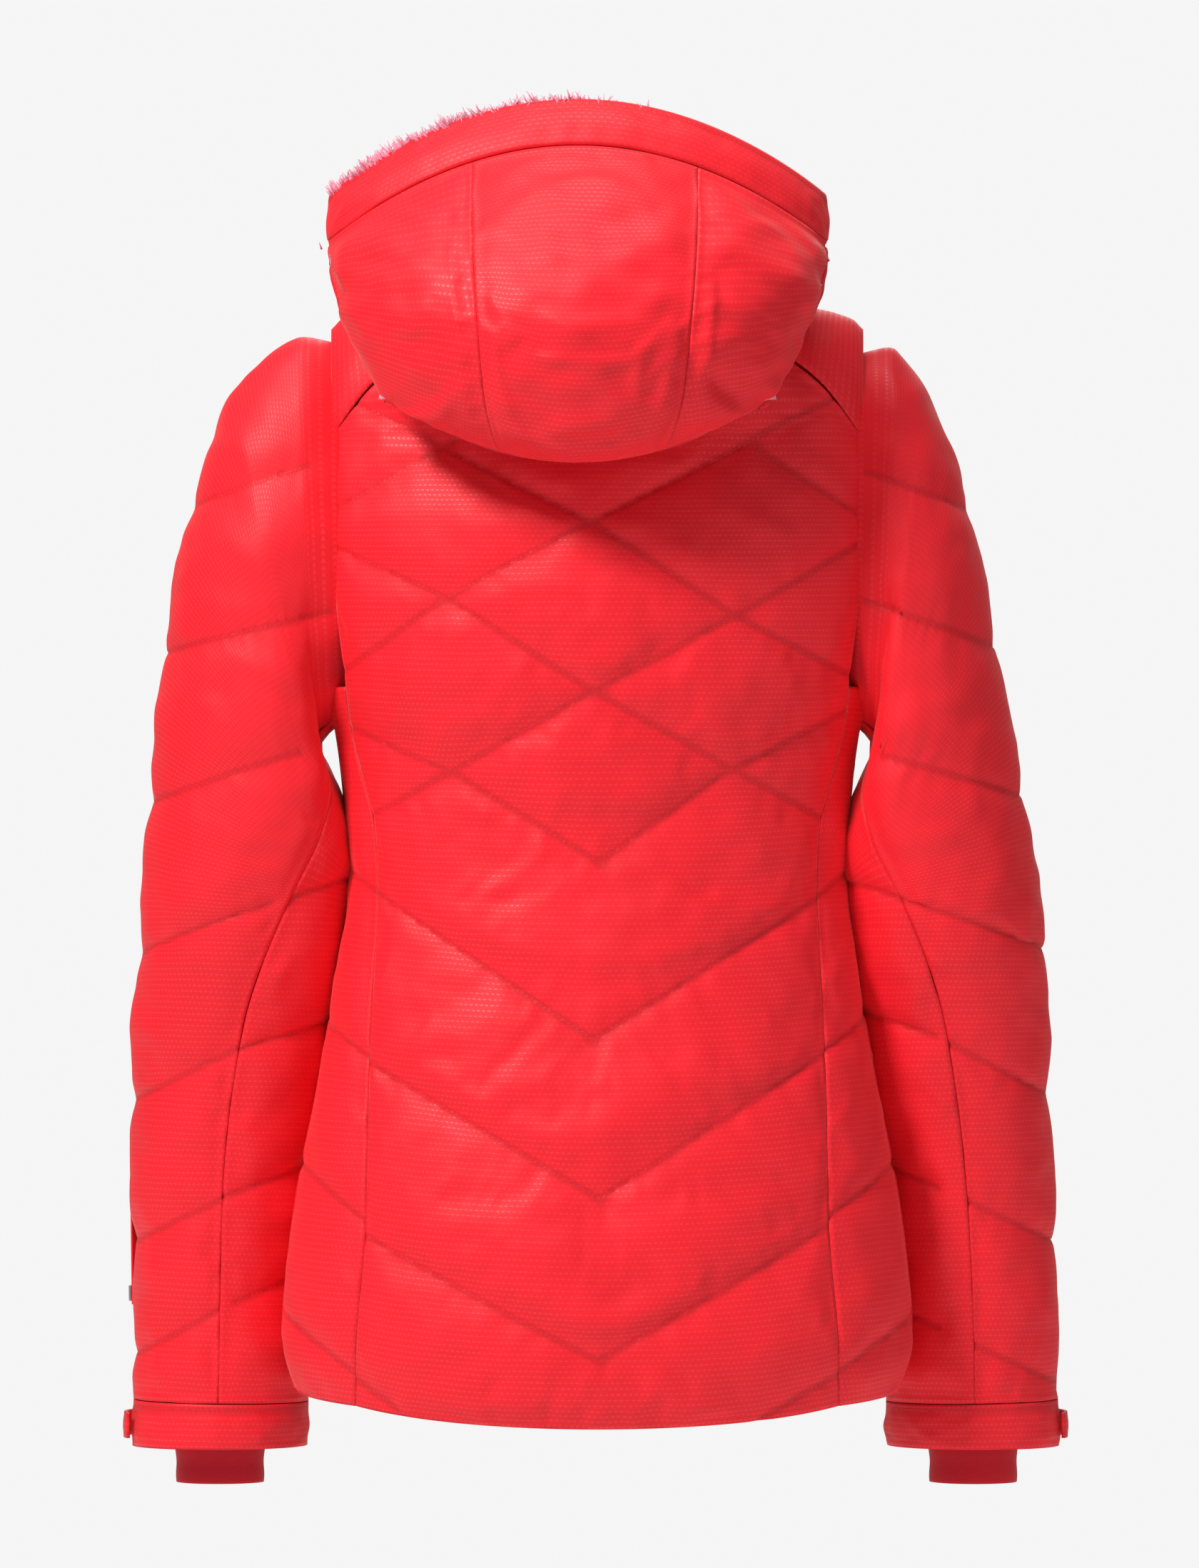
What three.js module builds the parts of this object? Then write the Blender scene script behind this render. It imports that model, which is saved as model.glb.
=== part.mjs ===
// A quilted ski jacket, hanging closed as if worn, with its hood resting on the upper back.
// Millimetres. The origin is the top of the hanger loop at the nape. +X is the wearer's
// right, +Y the wearer's front and +Z up.
import * as THREE from 'three';
import { mergeVertices } from 'three/addons/utils/BufferGeometryUtils.js';

// ---- Driving dimensions -------------------------------------------------------------------
const MID_Y = 56; // the plane of the side seams, in front of the nape
const YOKE_Z = -60; // where the tube of the body turns over into the shoulders
const ARMPIT_Z = -252;
const HEM_BACK_Z = -669; // centre back
const HEM_SIDE_Z = -651;
const FRONT_Y = 136; // the straight front zip line, at the yoke
const FRONT_SLOPE = 0.0675; // how far it leans forward for each millimetre down
const ZIP_TOP_Z = 20;
const ZIP_BOTTOM_Z = -640;
const ZIP_SLOT = 6.5; // half the gap between the two front edges
const NECK = { y: 62, halfWidth: 75, halfDepth: 69.5 }; // the neck seam in plan
const COLLAR_TOP = { side: 60, front: 22 };
const HOOD_X = -12; // the hood hangs a little to the wearer's left
const GAITER = { top: -632, bottom: -712, halfWidth: 28, halfDepth: 26 };

// Depths of the layers below the outer surface.
const SHELL = [0, 3];
const PADDING = [6, 9];
const LINING = [12.5, 14];
const TRIM = 1.5; // half the gap between two panels that are sewn together
const SIDE_TRIM = 0.005; // the same at the side seams, in turns

// ---- Finishes -----------------------------------------------------------------------------
const finish = (color, roughness, metalness = 0) =>
  new THREE.MeshStandardMaterial({ color, roughness, metalness });
const SHELL_RED = () => finish(0xf03848, 0.75);
const LINING_RED = () => finish(0xb81c34, 0.6);
const WADDING_WHITE = () => finish(0xe8e4de, 0.95);
const STRETCH_RED = () => finish(0xb01030, 0.8);
const PILE_PINK = () => finish(0xe0487c, 1.0);
const TAPE_RED = () => finish(0xa80f28, 0.8);
const COIL_RED = () => finish(0xc4182f, 0.5);
const PULL_GREY = () => finish(0x8d9096, 0.35, 0.9);

const jacket = new THREE.Group();

// ---- Helpers ------------------------------------------------------------------------------
const rad = THREE.MathUtils.degToRad;
const { lerp, clamp, smoothstep } = THREE.MathUtils;
const point = (x, y, z) => new THREE.Vector3(x, y, z);

// A smooth curve through [position, value] stations in rising order, read by position.
function profile(stations) {
  const last = stations.length - 1;
  const slope = (i) => {
    const [x0, y0] = stations[Math.max(i - 1, 0)];
    const [x1, y1] = stations[Math.min(i + 1, last)];
    return (y1 - y0) / (x1 - x0);
  };
  return (at) => {
    const x = clamp(at, stations[0][0], stations[last][0]);
    let i = 0;
    while (i < last - 1 && x > stations[i + 1][0]) i += 1;
    const [x0, y0] = stations[i];
    const [x1, y1] = stations[i + 1];
    const span = x1 - x0;
    const t = (x - x0) / span;
    const bend = t * t * (3 - 2 * t);
    const start = t * (1 - t) * (1 - t) * span * slope(i);
    const end = t * t * (t - 1) * span * slope(i + 1);
    return lerp(y0, y1, bend) + start + end;
  };
}

// Keeps only the positions, joins what coincides and turns the faces outward.
function closedBody(geometry) {
  geometry.deleteAttribute('normal');
  geometry.deleteAttribute('uv');
  const body = mergeVertices(geometry, 1e-3);
  const place = body.attributes.position;
  const corners = [...body.index.array];
  const kept = [];
  let volume = 0;
  for (let i = 0; i < corners.length; i += 3) {
    const [a, b, c] = corners.slice(i, i + 3);
    if (a === b || b === c || c === a) continue;
    kept.push(a, b, c);
    const [p, q, r] = [a, b, c].map((n) => new THREE.Vector3().fromBufferAttribute(place, n));
    volume += p.dot(q.cross(r));
  }
  if (volume < 0) kept.reverse();
  body.setIndex(kept);
  body.computeVertexNormals();
  return body;
}

function add(name, geometry, material) {
  const mesh = new THREE.Mesh(closedBody(geometry), material);
  mesh.name = name;
  jacket.add(mesh);
  return mesh;
}

// The point that lies a given depth below a surface, measured towards its heart.
function below(at, heart, u, v, depth) {
  const step = 0.004;
  const here = at(u, v);
  const along = at(u + step, v).sub(at(u - step, v));
  const up = at(u, v + step).sub(at(u, v - step));
  const out = along.cross(up).normalize();
  if (out.dot(here.clone().sub(heart)) < 0) out.negate();
  return here.addScaledVector(out, -depth);
}

// A fabric panel: a slab bent onto at(u, v, depth), between two depths below the surface.
function panel(name, material, [across, up], at, [top, bottom]) {
  const slab = new THREE.BoxGeometry(1, 1, 1, across, up, 1);
  const place = slab.attributes.position;
  for (let i = 0; i < place.count; i += 1) {
    const depth = place.getZ(i) > 0 ? top : bottom;
    const p = at(place.getX(i) + 0.5, place.getY(i) + 0.5, depth);
    place.setXYZ(i, p.x, p.y, p.z);
  }
  return add(name, slab, material);
}

// A fabric tube: a closed ring of wall bent onto at(turn, v, depth), with turn going round once.
function tube(name, material, [around, rows], at, [top, bottom]) {
  const walls = [];
  for (let i = 0; i <= rows; i += 1) walls.push(new THREE.Vector2(2, i / rows));
  for (let i = rows; i >= 0; i -= 1) walls.push(new THREE.Vector2(1, i / rows));
  walls.push(new THREE.Vector2(2, 0));
  const ring = new THREE.LatheGeometry(walls, around);
  const place = ring.attributes.position;
  for (let i = 0; i < place.count; i += 1) {
    const [x, v, z] = [place.getX(i), place.getY(i), place.getZ(i)];
    const turn = Math.atan2(x, z) / (2 * Math.PI);
    const p = at(turn, v, Math.hypot(x, z) > 1.5 ? top : bottom);
    place.setXYZ(i, p.x, p.y, p.z);
  }
  return add(name, ring, material);
}

// ---- The body of the jacket ----------------------------------------------------------------
const halfWidth = profile([
  [-670, 184], [-621, 196], [-573, 192], [-515, 184], [-466, 173], [-384, 158],
  [-346, 153], [-297, 150.5], [-270, 154], [-243, 163], [-200, 178], [-120, 190], [-60, 188],
]);
const backDepth = profile([
  [-670, 114], [-621, 126], [-560, 124], [-466, 115], [-384, 104], [-297, 98],
  [-200, 114], [-120, 116], [-60, 100],
]);
const frontY = (z) => FRONT_Y + (YOKE_Z - z) * FRONT_SLOPE;
const frontDepth = (z) => frontY(z) - MID_Y;
// The princess seam below the armpit and the armhole seam above it.
const seamX = profile([
  [-670, 152], [-611, 151], [-553, 146], [-441, 144], [-394, 142], [-339, 140], [-299, 142],
  [-270, 150], [-243, 157], [-205, 161], [-172, 165], [-128, 168], [-60, 168],
]);
const ridgeZ = profile([[0, 16], [75, 22], [130, 20], [160, 13], [170, 6]]);
const raglanX = profile([[0, 168], [0.35, 141], [0.7, 100], [1, 62]]);

const hemZ = (turn) => {
  const side = Math.min(Math.abs(turn), 1);
  return lerp(HEM_BACK_Z, HEM_SIDE_Z, side * side);
};

// turn is 0 at centre back, 1 at the side seam and 2 at centre front.
function bodyAt(turn, z, depth = 0) {
  const angle = (turn * Math.PI) / 2;
  const reach = (Math.cos(angle) > 0 ? backDepth(z) : frontDepth(z)) - depth;
  return point((halfWidth(z) - depth) * Math.sin(angle), MID_Y - reach * Math.cos(angle), z);
}
const turnAtX = (x, z) => (Math.asin(clamp(x / halfWidth(z), -1, 1)) * 2) / Math.PI;

// The shoulders: lift is 0 at the yoke line on the back, 90 on the shoulder ridge and 180 at
// the yoke line on the front, in degrees.
function shoulderAt(x, lift, depth = 0) {
  const width = halfWidth(YOKE_Z);
  const share = Math.sqrt(Math.max(0, 1 - (x / width) ** 2));
  const angle = rad(lift);
  const reach = (lift < 90 ? backDepth(YOKE_Z) : frontDepth(YOKE_Z)) - depth;
  const rise = (ridgeZ(Math.abs(x)) - YOKE_Z - depth) * Math.sin(angle);
  return point(x * (1 - depth / width), MID_Y - reach * share * Math.cos(angle), YOKE_Z + rise);
}
// How far up the shoulders the neck seam lies, at the back and at the front.
function neckLift(across, front) {
  const x = Math.min(Math.abs(across), raglanX(1));
  const share = Math.sqrt(Math.max(0, 1 - (x / halfWidth(YOKE_Z)) ** 2));
  const reach = NECK.halfDepth * Math.sqrt(Math.max(0, 1 - (x / NECK.halfWidth) ** 2));
  const y = front ? NECK.y + reach - MID_Y : MID_Y - NECK.y + reach;
  const depth = (front ? frontDepth(YOKE_Z) : backDepth(YOKE_Z)) * share;
  const lift = THREE.MathUtils.radToDeg(Math.acos(clamp(y / depth, 0, 1)));
  return front ? 180 - lift : lift;
}

// Rows 0..1 climb from the hem to the yoke line and rows 1..2 from there to the neck seam.
function backAt(across, row, depth = 0) {
  if (row <= 1) {
    const z = lerp(hemZ(across * 0.5), YOKE_Z, row);
    return bodyAt(across * turnAtX(seamX(z) - TRIM, z), z, depth);
  }
  const rise = Math.min(row - 1, 1);
  const x = (backAt(across, 1).x / backAt(1, 1).x) * (raglanX(rise) - TRIM);
  return shoulderAt(x, rise * (neckLift(x, false) - 3), depth);
}
// Below the armpits the padding and the lining reach round to the side seams.
function backInsideAt(across, row, depth) {
  if (row > 1) return backAt(across, row, depth);
  const z = lerp(hemZ(across * 0.5), YOKE_Z, row);
  const above = smoothstep(z, ARMPIT_Z - 8, ARMPIT_Z + 60);
  return bodyAt(across * lerp(0.985, turnAtX(seamX(z) - TRIM, z), above), z, depth);
}
// Three quarters of a panel's rows are below the yoke line.
const rowOf = (v) => (v < 0.75 ? v / 0.75 : 1 + (v - 0.75) / 0.25);
const back = (u, v, depth) => backAt(lerp(-1, 1, u), rowOf(v), depth);
const backInside = (u, v, depth) => backInsideAt(lerp(-1, 1, u), rowOf(v), depth);
// The padding runs the other way across, so that its facets lie along those of its neighbours.
const mirrored = (at) => (u, v, depth) => at(1 - u, v, depth);
panel('back_panel', SHELL_RED(), [10, 16], back, SHELL);
panel('back_padding', WADDING_WHITE(), [10, 16], mirrored(backInside), PADDING);
panel('back_lining', LINING_RED(), [10, 16], backInside, LINING);

function frontAt(side, u, row, depth = 0) {
  if (row <= 1) {
    const z = lerp(HEM_SIDE_Z, YOKE_Z, row);
    const inner = 2 - turnAtX(ZIP_SLOT, z);
    const above = smoothstep(z, ARMPIT_Z - 8, ARMPIT_Z + 60);
    const outer = lerp(1 + SIDE_TRIM, 2 - turnAtX(seamX(z) - TRIM, z), above);
    return bodyAt(side * lerp(inner, outer, u), z, depth);
  }
  const rise = Math.min(row - 1, 1);
  const share = (frontAt(side, u, 1).x * side - ZIP_SLOT) / (seamX(YOKE_Z) - TRIM - ZIP_SLOT);
  const x = lerp(ZIP_SLOT, raglanX(rise) - TRIM, share);
  return shoulderAt(side * x, lerp(180, neckLift(x, true) + 4, rise), depth);
}
function sidePanelAt(side, u, v, depth) {
  const z = lerp(hemZ(0.9), ARMPIT_Z, v);
  return bodyAt(side * lerp(turnAtX(seamX(z) + TRIM, z), 1 - SIDE_TRIM, u), z, depth);
}
// The raglan shoulder, from the neck seam (v = 0) out to the armhole (v = 1).
function raglanAt(side, u, v, depth) {
  const x = raglanX(1 - v) + TRIM + (1 - v) * 12 * Math.sin(Math.PI * u);
  const rear = (1 - v) * neckLift(x, false);
  const fore = lerp(neckLift(x, true), 180, v);
  return shoulderAt(side * Math.min(x, 167), lerp(rear, fore, u), depth);
}
for (const [word, side] of [['left', -1], ['right', 1]]) {
  const front = (u, v, depth) => frontAt(side, u, rowOf(v), depth);
  const behindZip = (u, v, depth) => frontAt(side, lerp(1 / 6, 1, u), rowOf(v), depth);
  panel(`front_panel_${word}`, SHELL_RED(), [6, 16], front, SHELL);
  panel(`front_padding_${word}`, WADDING_WHITE(), [5, 16], mirrored(behindZip), PADDING);
  panel(`front_lining_${word}`, LINING_RED(), [5, 16], behindZip, LINING);
  const flank = (u, v, depth) => sidePanelAt(side, u, v, depth);
  panel(`side_panel_${word}`, SHELL_RED(), [3, 10], flank, SHELL);
  const shoulder = (u, v, depth) => raglanAt(side, u, v, depth);
  panel(`raglan_${word}`, SHELL_RED(), [8, 5], shoulder, SHELL);
}

// ---- The collar, the hanger loop and the band that carries the hood ------------------------
// turn runs from -1 at the left front edge, through 0 at the nape, to 1 at the right.
function collarAt(turn, height, depth) {
  const open = Math.asin(ZIP_SLOT / NECK.halfWidth);
  const angle = turn * (Math.PI - open);
  const x = (NECK.halfWidth - depth) * Math.sin(angle);
  const y = NECK.y - (NECK.halfDepth - depth) * Math.cos(angle);
  const front = Math.max(0, -Math.cos(angle)) ** 2;
  const foot = lerp(lerp(0, 24, Math.sin(angle) ** 2), -29, front) + 4;
  const rim = lerp(COLLAR_TOP.side, COLLAR_TOP.front, front);
  return point(x * lerp(1, 0.96, height), y, lerp(foot, rim, height));
}
const collarOf = (ends) => (u, v, depth) => collarAt(lerp(-ends, ends, u), v, depth);
panel('collar_shell', SHELL_RED(), [20, 2], collarOf(1), [0, 2.2]);
panel('collar_lining', LINING_RED(), [20, 2], collarOf(0.95), [4, 6]);

const LOOP = { y: 3, halfWidth: 27, drop: 22, ribbon: 6, thick: 1.6 };
const loopPath = new THREE.QuadraticBezierCurve3(
  point(-LOOP.halfWidth, LOOP.y, -LOOP.drop),
  point(0, LOOP.y, LOOP.drop - LOOP.ribbon),
  point(LOOP.halfWidth, LOOP.y, -LOOP.drop),
);
const ribbonSection = new THREE.Shape()
  .moveTo(-LOOP.thick / 2, -LOOP.ribbon / 2)
  .lineTo(LOOP.thick / 2, -LOOP.ribbon / 2)
  .lineTo(LOOP.thick / 2, LOOP.ribbon / 2)
  .lineTo(-LOOP.thick / 2, LOOP.ribbon / 2);
const loopBody = new THREE.ExtrudeGeometry(ribbonSection, { steps: 12, extrudePath: loopPath });
add('hanger_loop', loopBody, TAPE_RED());

// ---- Sleeves -------------------------------------------------------------------------------
// Each ring of a sleeve is set by its outer and its inner point, as [x, z] away from the body,
// and by the middle and half the depth of the ring from back to front.
const SLEEVE_OUTER = {
  left: [[172, 8], [192, -1], [213, -18], [230, -38], [243, -72], [255, -110], [264, -152],
    [273, -225], [283, -352], [289, -424], [291, -510], [290, -600], [292, -689]],
  right: [[172, 2], [189, -9], [202, -26], [212, -46], [223, -72], [234, -108], [243, -155],
    [255, -225], [276, -352], [281, -424], [284, -510], [288, -600], [290, -689]],
};
const SLEEVE_INNER = [[172, -240], [170, -247], [168, -254], [166, -262], [164, -273],
  [162, -287], [160, -304], [159, -326], [159, -358], [163, -430], [172, -514], [179, -604],
  [182, -689]];
const SLEEVE_MIDDLE = [56, 56, 56, 56, 57, 58, 60, 65, 78, 99, 116, 126, 130];
const SLEEVE_HALF = [60, 62, 64, 66, 67, 67, 67, 66, 64, 60.5, 57, 55, 53];
const RINGS = SLEEVE_MIDDLE.length - 1;
const perRing = (values) => profile(values.map((value, ring) => [ring, value]));

function sleeveOf(word) {
  const outerX = perRing(SLEEVE_OUTER[word].map(([x]) => x));
  const outerZ = perRing(SLEEVE_OUTER[word].map(([, z]) => z));
  const innerX = perRing(SLEEVE_INNER.map(([x]) => x));
  const innerZ = perRing(SLEEVE_INNER.map(([, z]) => z));
  const middle = perRing(SLEEVE_MIDDLE);
  const half = perRing(SLEEVE_HALF);
  const side = word === 'left' ? -1 : 1;
  // turn is 0 on the outer edge, 0.25 at the back, 0.5 next to the body, 0.75 at the front.
  return {
    side,
    at(turn, ring, depth) {
      const angle = turn * 2 * Math.PI;
      const inner = point(side * innerX(ring), middle(ring), innerZ(ring));
      const outer = point(side * outerX(ring), middle(ring), outerZ(ring));
      const out = outer.clone().sub(inner);
      const share = (1 - (2 * depth) / out.length()) * Math.cos(angle);
      const p = inner.addScaledVector(out, (1 + share) / 2);
      p.y -= (half(ring) - depth) * Math.sin(angle);
      return p;
    },
  };
}
const backSeamTurn = profile([[0, 0.46], [4, 0.43], [7, 0.36], [9, 0.26], [12, 0.25]]);
const FRONT_SEAM_TURN = -0.27;
const SEAM_TURN = 0.004; // half the gap at a sleeve seam, in turns round the sleeve
const SLEEVE_TOP = 0.05;
const LINING_TOP = 2.4;
const ELBOW_RING = 8.35;
const CUFF_RING = 11.67;
// The elbow is cut as a wedge that is open at the front, so that the forearm can bend.
const elbowCut = (turn) => 0.04 + 0.42 * Math.max(0, -Math.sin(turn * 2 * Math.PI));

const TAB = { front: -0.12, tip: 0.05, top: 11.76, bottom: 11.94 }; // turns and rings

const SLEEVE_PARTS = [
  ['upper', (turn, v, top = SLEEVE_TOP) => lerp(top, ELBOW_RING - elbowCut(turn), v), 8],
  ['lower', (turn, v) => lerp(ELBOW_RING + elbowCut(turn), CUFF_RING - 0.03, v), 5],
];
for (const word of ['left', 'right']) {
  const sleeve = sleeveOf(word);
  for (const [part, ringAt, rows] of SLEEVE_PARTS) {
    const seam = (v) => backSeamTurn(ringAt(0.25, v));
    const outer = (u, v, depth) => {
      const turn = lerp(FRONT_SEAM_TURN + SEAM_TURN, seam(v) - SEAM_TURN, u);
      return sleeve.at(turn, ringAt(turn, v), depth);
    };
    const under = (u, v, depth) => {
      const turn = lerp(seam(v) + SEAM_TURN, 1 + FRONT_SEAM_TURN - SEAM_TURN, u);
      return sleeve.at(turn, ringAt(turn, v), depth);
    };
    const lining = (turn, v, depth) => sleeve.at(turn, ringAt(turn, v, LINING_TOP), depth);
    panel(`sleeve_outer_${part}_${word}`, SHELL_RED(), [9, rows], outer, SHELL);
    panel(`sleeve_under_${part}_${word}`, SHELL_RED(), [8, rows], under, SHELL);
    tube(`sleeve_lining_${part}_${word}`, LINING_RED(), [15, rows], lining, [11, 12.5]);
  }
  const band = (turn, v, depth) => sleeve.at(turn, lerp(CUFF_RING + 0.03, RINGS, v), depth);
  tube(`cuff_band_${word}`, SHELL_RED(), [18, 1], band, SHELL);

  // The stretch gaiter hangs out of the cuff below the lining.
  const wrist = sleeve.at(0, RINGS, 0).add(sleeve.at(0.5, RINGS, 0)).multiplyScalar(0.5);
  const gaiter = (turn, v, depth) => {
    const angle = turn * 2 * Math.PI;
    const flare = lerp(1, 1.25, v * v);
    const x = (GAITER.halfWidth * flare - depth) * Math.cos(angle);
    const y = (GAITER.halfDepth * flare - depth) * Math.sin(angle);
    return point(wrist.x + x, wrist.y + y, lerp(GAITER.bottom, GAITER.top, v));
  };
  tube(`wrist_gaiter_${word}`, STRETCH_RED(), [14, 3], gaiter, [0, 2.5]);

  // The cuff tab lies round the outer side of the band and peels off from its sewn front end.
  const tab = (u, v, depth) => {
    return sleeve.at(lerp(TAB.front, TAB.tip, u), lerp(TAB.top, TAB.bottom, v), depth);
  };
  panel(`cuff_tab_${word}`, SHELL_RED(), [6, 1], tab, [-4.2, -1.2]);
}

// ---- Hood ----------------------------------------------------------------------------------
// The rows of the hood climb from beside the neck seam (0), round the fold that rests on the
// back (2), to the brim seam (6) and the brim's edge (7). Each row is set by its point at
// centre back, its widest point at the side and its end above the shoulder.
const HOOD_BACK_Z = profile([[0, -14], [1, -56], [2, -84], [3, -56], [4, 0], [5, 60], [6, 118], [7, 147]]);
const HOOD_BACK_Y = profile([[0, -38], [1, -62], [2, -94], [3, -132], [4, -150], [5, -126], [6, -66], [7, -42]]);
const HOOD_SIDE_Z = profile([[0, 34], [1, -6], [2, -46], [3, -14], [4, 22], [5, 44], [6, 60], [7, 89]]);
const HOOD_SIDE_Y = profile([[0, 10], [1, -38], [2, -60], [3, -46], [4, -30], [5, -12], [6, 0], [7, 8]]);
const HOOD_HALF = profile([[0, 104], [1, 108], [2, 115], [3, 137], [4, 149], [5, 156], [6, 158], [7, 157]]);
const HOOD_END_Z = profile([[0, 42], [2, 44], [4, 54], [6, 62], [7, 84]]);
const HOOD_END = { turn: 120, y: 44 };
const HOOD_SEAMS = { left: -24.5, right: 28.3 };
const BRIM_SEAM = 6;

// turn is in degrees: 0 at centre back, 90 at the wearer's right side.
function hoodAt(turn, row) {
  const angle = rad(turn);
  const x = HOOD_X + HOOD_HALF(row) * Math.sin(angle);
  const [backY, sideY] = [HOOD_BACK_Y(row), HOOD_SIDE_Y(row)];
  const [backZ, sideZ] = [HOOD_BACK_Z(row), HOOD_SIDE_Z(row)];
  const ahead = -Math.cos(angle) / -Math.cos(rad(HOOD_END.turn));
  if (ahead <= 0) {
    const round = Math.sin(angle) ** 2;
    return point(x, lerp(sideY, backY, Math.cos(angle)), lerp(backZ, sideZ, round));
  }
  return point(x, lerp(sideY, HOOD_END.y, ahead), lerp(sideZ, HOOD_END_Z(row), Math.sqrt(ahead)));
}
const HOOD_HEART = point(HOOD_X, -85, 20);
function hoodPiece(name, material, cells, [from, to], [low, high], layer) {
  const at = (u, v) => hoodAt(lerp(from, to, u), lerp(low, high, v));
  panel(name, material, cells, (u, v, depth) => below(at, HOOD_HEART, u, v, depth), layer);
}
const sewn = 0.6; // degrees between two panels of the hood
const body = [0, BRIM_SEAM - 0.06];
hoodPiece('hood_center_panel', SHELL_RED(), [5, 12],
  [HOOD_SEAMS.left + sewn, HOOD_SEAMS.right - sewn], body, SHELL);
hoodPiece('hood_side_left', SHELL_RED(), [7, 12],
  [-HOOD_END.turn, HOOD_SEAMS.left - sewn], body, SHELL);
hoodPiece('hood_side_right', SHELL_RED(), [7, 12],
  [HOOD_SEAMS.right + sewn, HOOD_END.turn], body, SHELL);
hoodPiece('hood_brim', SHELL_RED(), [18, 2],
  [-HOOD_END.turn, HOOD_END.turn], [BRIM_SEAM + 0.06, 7], SHELL);
hoodPiece('hood_pile_lining', PILE_PINK(), [18, 14],
  [-HOOD_END.turn, HOOD_END.turn], [0.1, 6.98], [6, 10]);

// What stays on the neck seam when the hood is lifted: the band it is sewn to, round the foot
// of the collar, and the two cheeks in front.
function neckRing(turn, height, reach) {
  const angle = rad(turn);
  const x = (NECK.halfWidth + reach) * Math.sin(angle);
  const y = NECK.y - (NECK.halfDepth + reach) * Math.cos(angle);
  const depth = y < MID_Y ? backDepth(YOKE_Z) : frontDepth(YOKE_Z);
  const share = Math.sqrt(1 - (x / halfWidth(YOKE_Z)) ** 2);
  const rise = Math.sqrt(Math.max(0, 1 - ((y - MID_Y) / (depth * share)) ** 2));
  return point(x, y, YOKE_Z + (ridgeZ(Math.abs(x)) - YOKE_Z) * rise + height);
}
const BAND_TURN = 108;
const neckBand = (u, v, depth) => {
  return neckRing(lerp(-BAND_TURN, BAND_TURN, u), lerp(3, 14, v), 5 - depth);
};
panel('hood_neck_band', SHELL_RED(), [16, 1], neckBand, [0, 2.5]);
for (const [word, side] of [['left', -1], ['right', 1]]) {
  const cheek = (u, v, depth) => {
    const height = lerp(lerp(8, 14, u), lerp(30, 46, u), v);
    return neckRing(side * lerp(112, 168, u), height, lerp(14, 7, u) - depth);
  };
  panel(`hood_cheek_${word}`, SHELL_RED(), [6, 2], cheek, SHELL);
}

// ---- Zips ----------------------------------------------------------------------------------
// A zip runs down a straight line. Its own axes are x across, y out of the fabric and z up.
function zipPlace(top, bottom, outward) {
  const up = top.clone().sub(bottom).normalize();
  const across = outward.clone().cross(up).normalize();
  const out = up.clone().cross(across).normalize();
  return new THREE.Matrix4().makeBasis(across, out, up).setPosition(top);
}
function placed(name, geometry, material, place) {
  return add(name, geometry.applyMatrix4(place), material);
}
// An outline of [x, y] corners, drawn out from one height to another.
function bar(corners, from, to) {
  const outline = new THREE.Shape(corners.map(([x, y]) => new THREE.Vector2(x, y)));
  const body = new THREE.ExtrudeGeometry(outline, { depth: to - from, bevelEnabled: false });
  return body.translate(0, 0, from);
}
// A pull: a rounded plate that hangs from the slider, in the plane of the zip.
function pullPlate(width, length, thick) {
  const outline = new THREE.Shape();
  const r = width / 2;
  outline.moveTo(-r, 0).lineTo(-r, -length + r);
  outline.absarc(0, -length + r, r, Math.PI, 2 * Math.PI, false);
  outline.lineTo(r, 0);
  const body = new THREE.ExtrudeGeometry(outline, { depth: thick, bevelEnabled: false, curveSegments: 6 });
  return body.rotateX(Math.PI / 2).translate(0, thick, 0);
}

// The front zip: one half of the chain on each front edge, and its box at the hem.
const frontLine = (z, inset = 0) => point(0, frontY(z) - inset, z);
const frontPlace = zipPlace(frontLine(ZIP_TOP_Z), frontLine(ZIP_BOTTOM_Z), point(0, 1, 0));
const ZIP_LENGTH = (ZIP_TOP_Z - ZIP_BOTTOM_Z) / Math.cos(Math.atan(FRONT_SLOPE));
const CHAIN = { half: 2.6, top: -0.6, tape: -6.2, under: -7.4, width: 13 };
for (const [word, side] of [['left', -1], ['right', 1]]) {
  const half = [
    [0.2, CHAIN.under], [CHAIN.width, CHAIN.under], [CHAIN.width, CHAIN.tape],
    [CHAIN.half, CHAIN.tape], [CHAIN.half, CHAIN.top], [0.2, CHAIN.top],
  ];
  const tape = bar(half.map(([x, y]) => [x * side, y]), -ZIP_LENGTH + 14, -2);
  placed(`front_zip_${word}`, tape, TAPE_RED(), frontPlace);
}
const zipBox = bar([[-5, -7.5], [5, -7.5], [5, 0.2], [-5, 0.2]], -ZIP_LENGTH, -ZIP_LENGTH + 13.6);
placed('front_zip_box', zipBox, COIL_RED(), frontPlace);

// A slider rides over the chain with a flange down each side of it.
function sliderBody(half, flange, length) {
  return bar([
    [-half, flange], [-half + 1.4, flange], [-half + 1.4, 0], [half - 1.4, 0], [half - 1.4, flange],
    [half, flange], [half, 2], [-half, 2],
  ], -length, 0);
}
const SLIDER = { half: 5.2, length: 15 };
const frontSlider = sliderBody(SLIDER.half, -3.6, SLIDER.length).translate(0, 0, -4);
placed('front_zip_slider', frontSlider, PULL_GREY(), frontPlace);
placed('front_zip_pull', pullPlate(8, 34, 1.6).translate(0, 2.4, -8), PULL_GREY(), frontPlace);

// The storm flap closes the gap behind the front zip, from the left front.
const flap = bar([[-15.5, -10], [12, -10], [12, -8.2], [-15.5, -8.2]], -ZIP_LENGTH + 20, -60);
placed('storm_flap', flap, SHELL_RED(), frontPlace);

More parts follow.
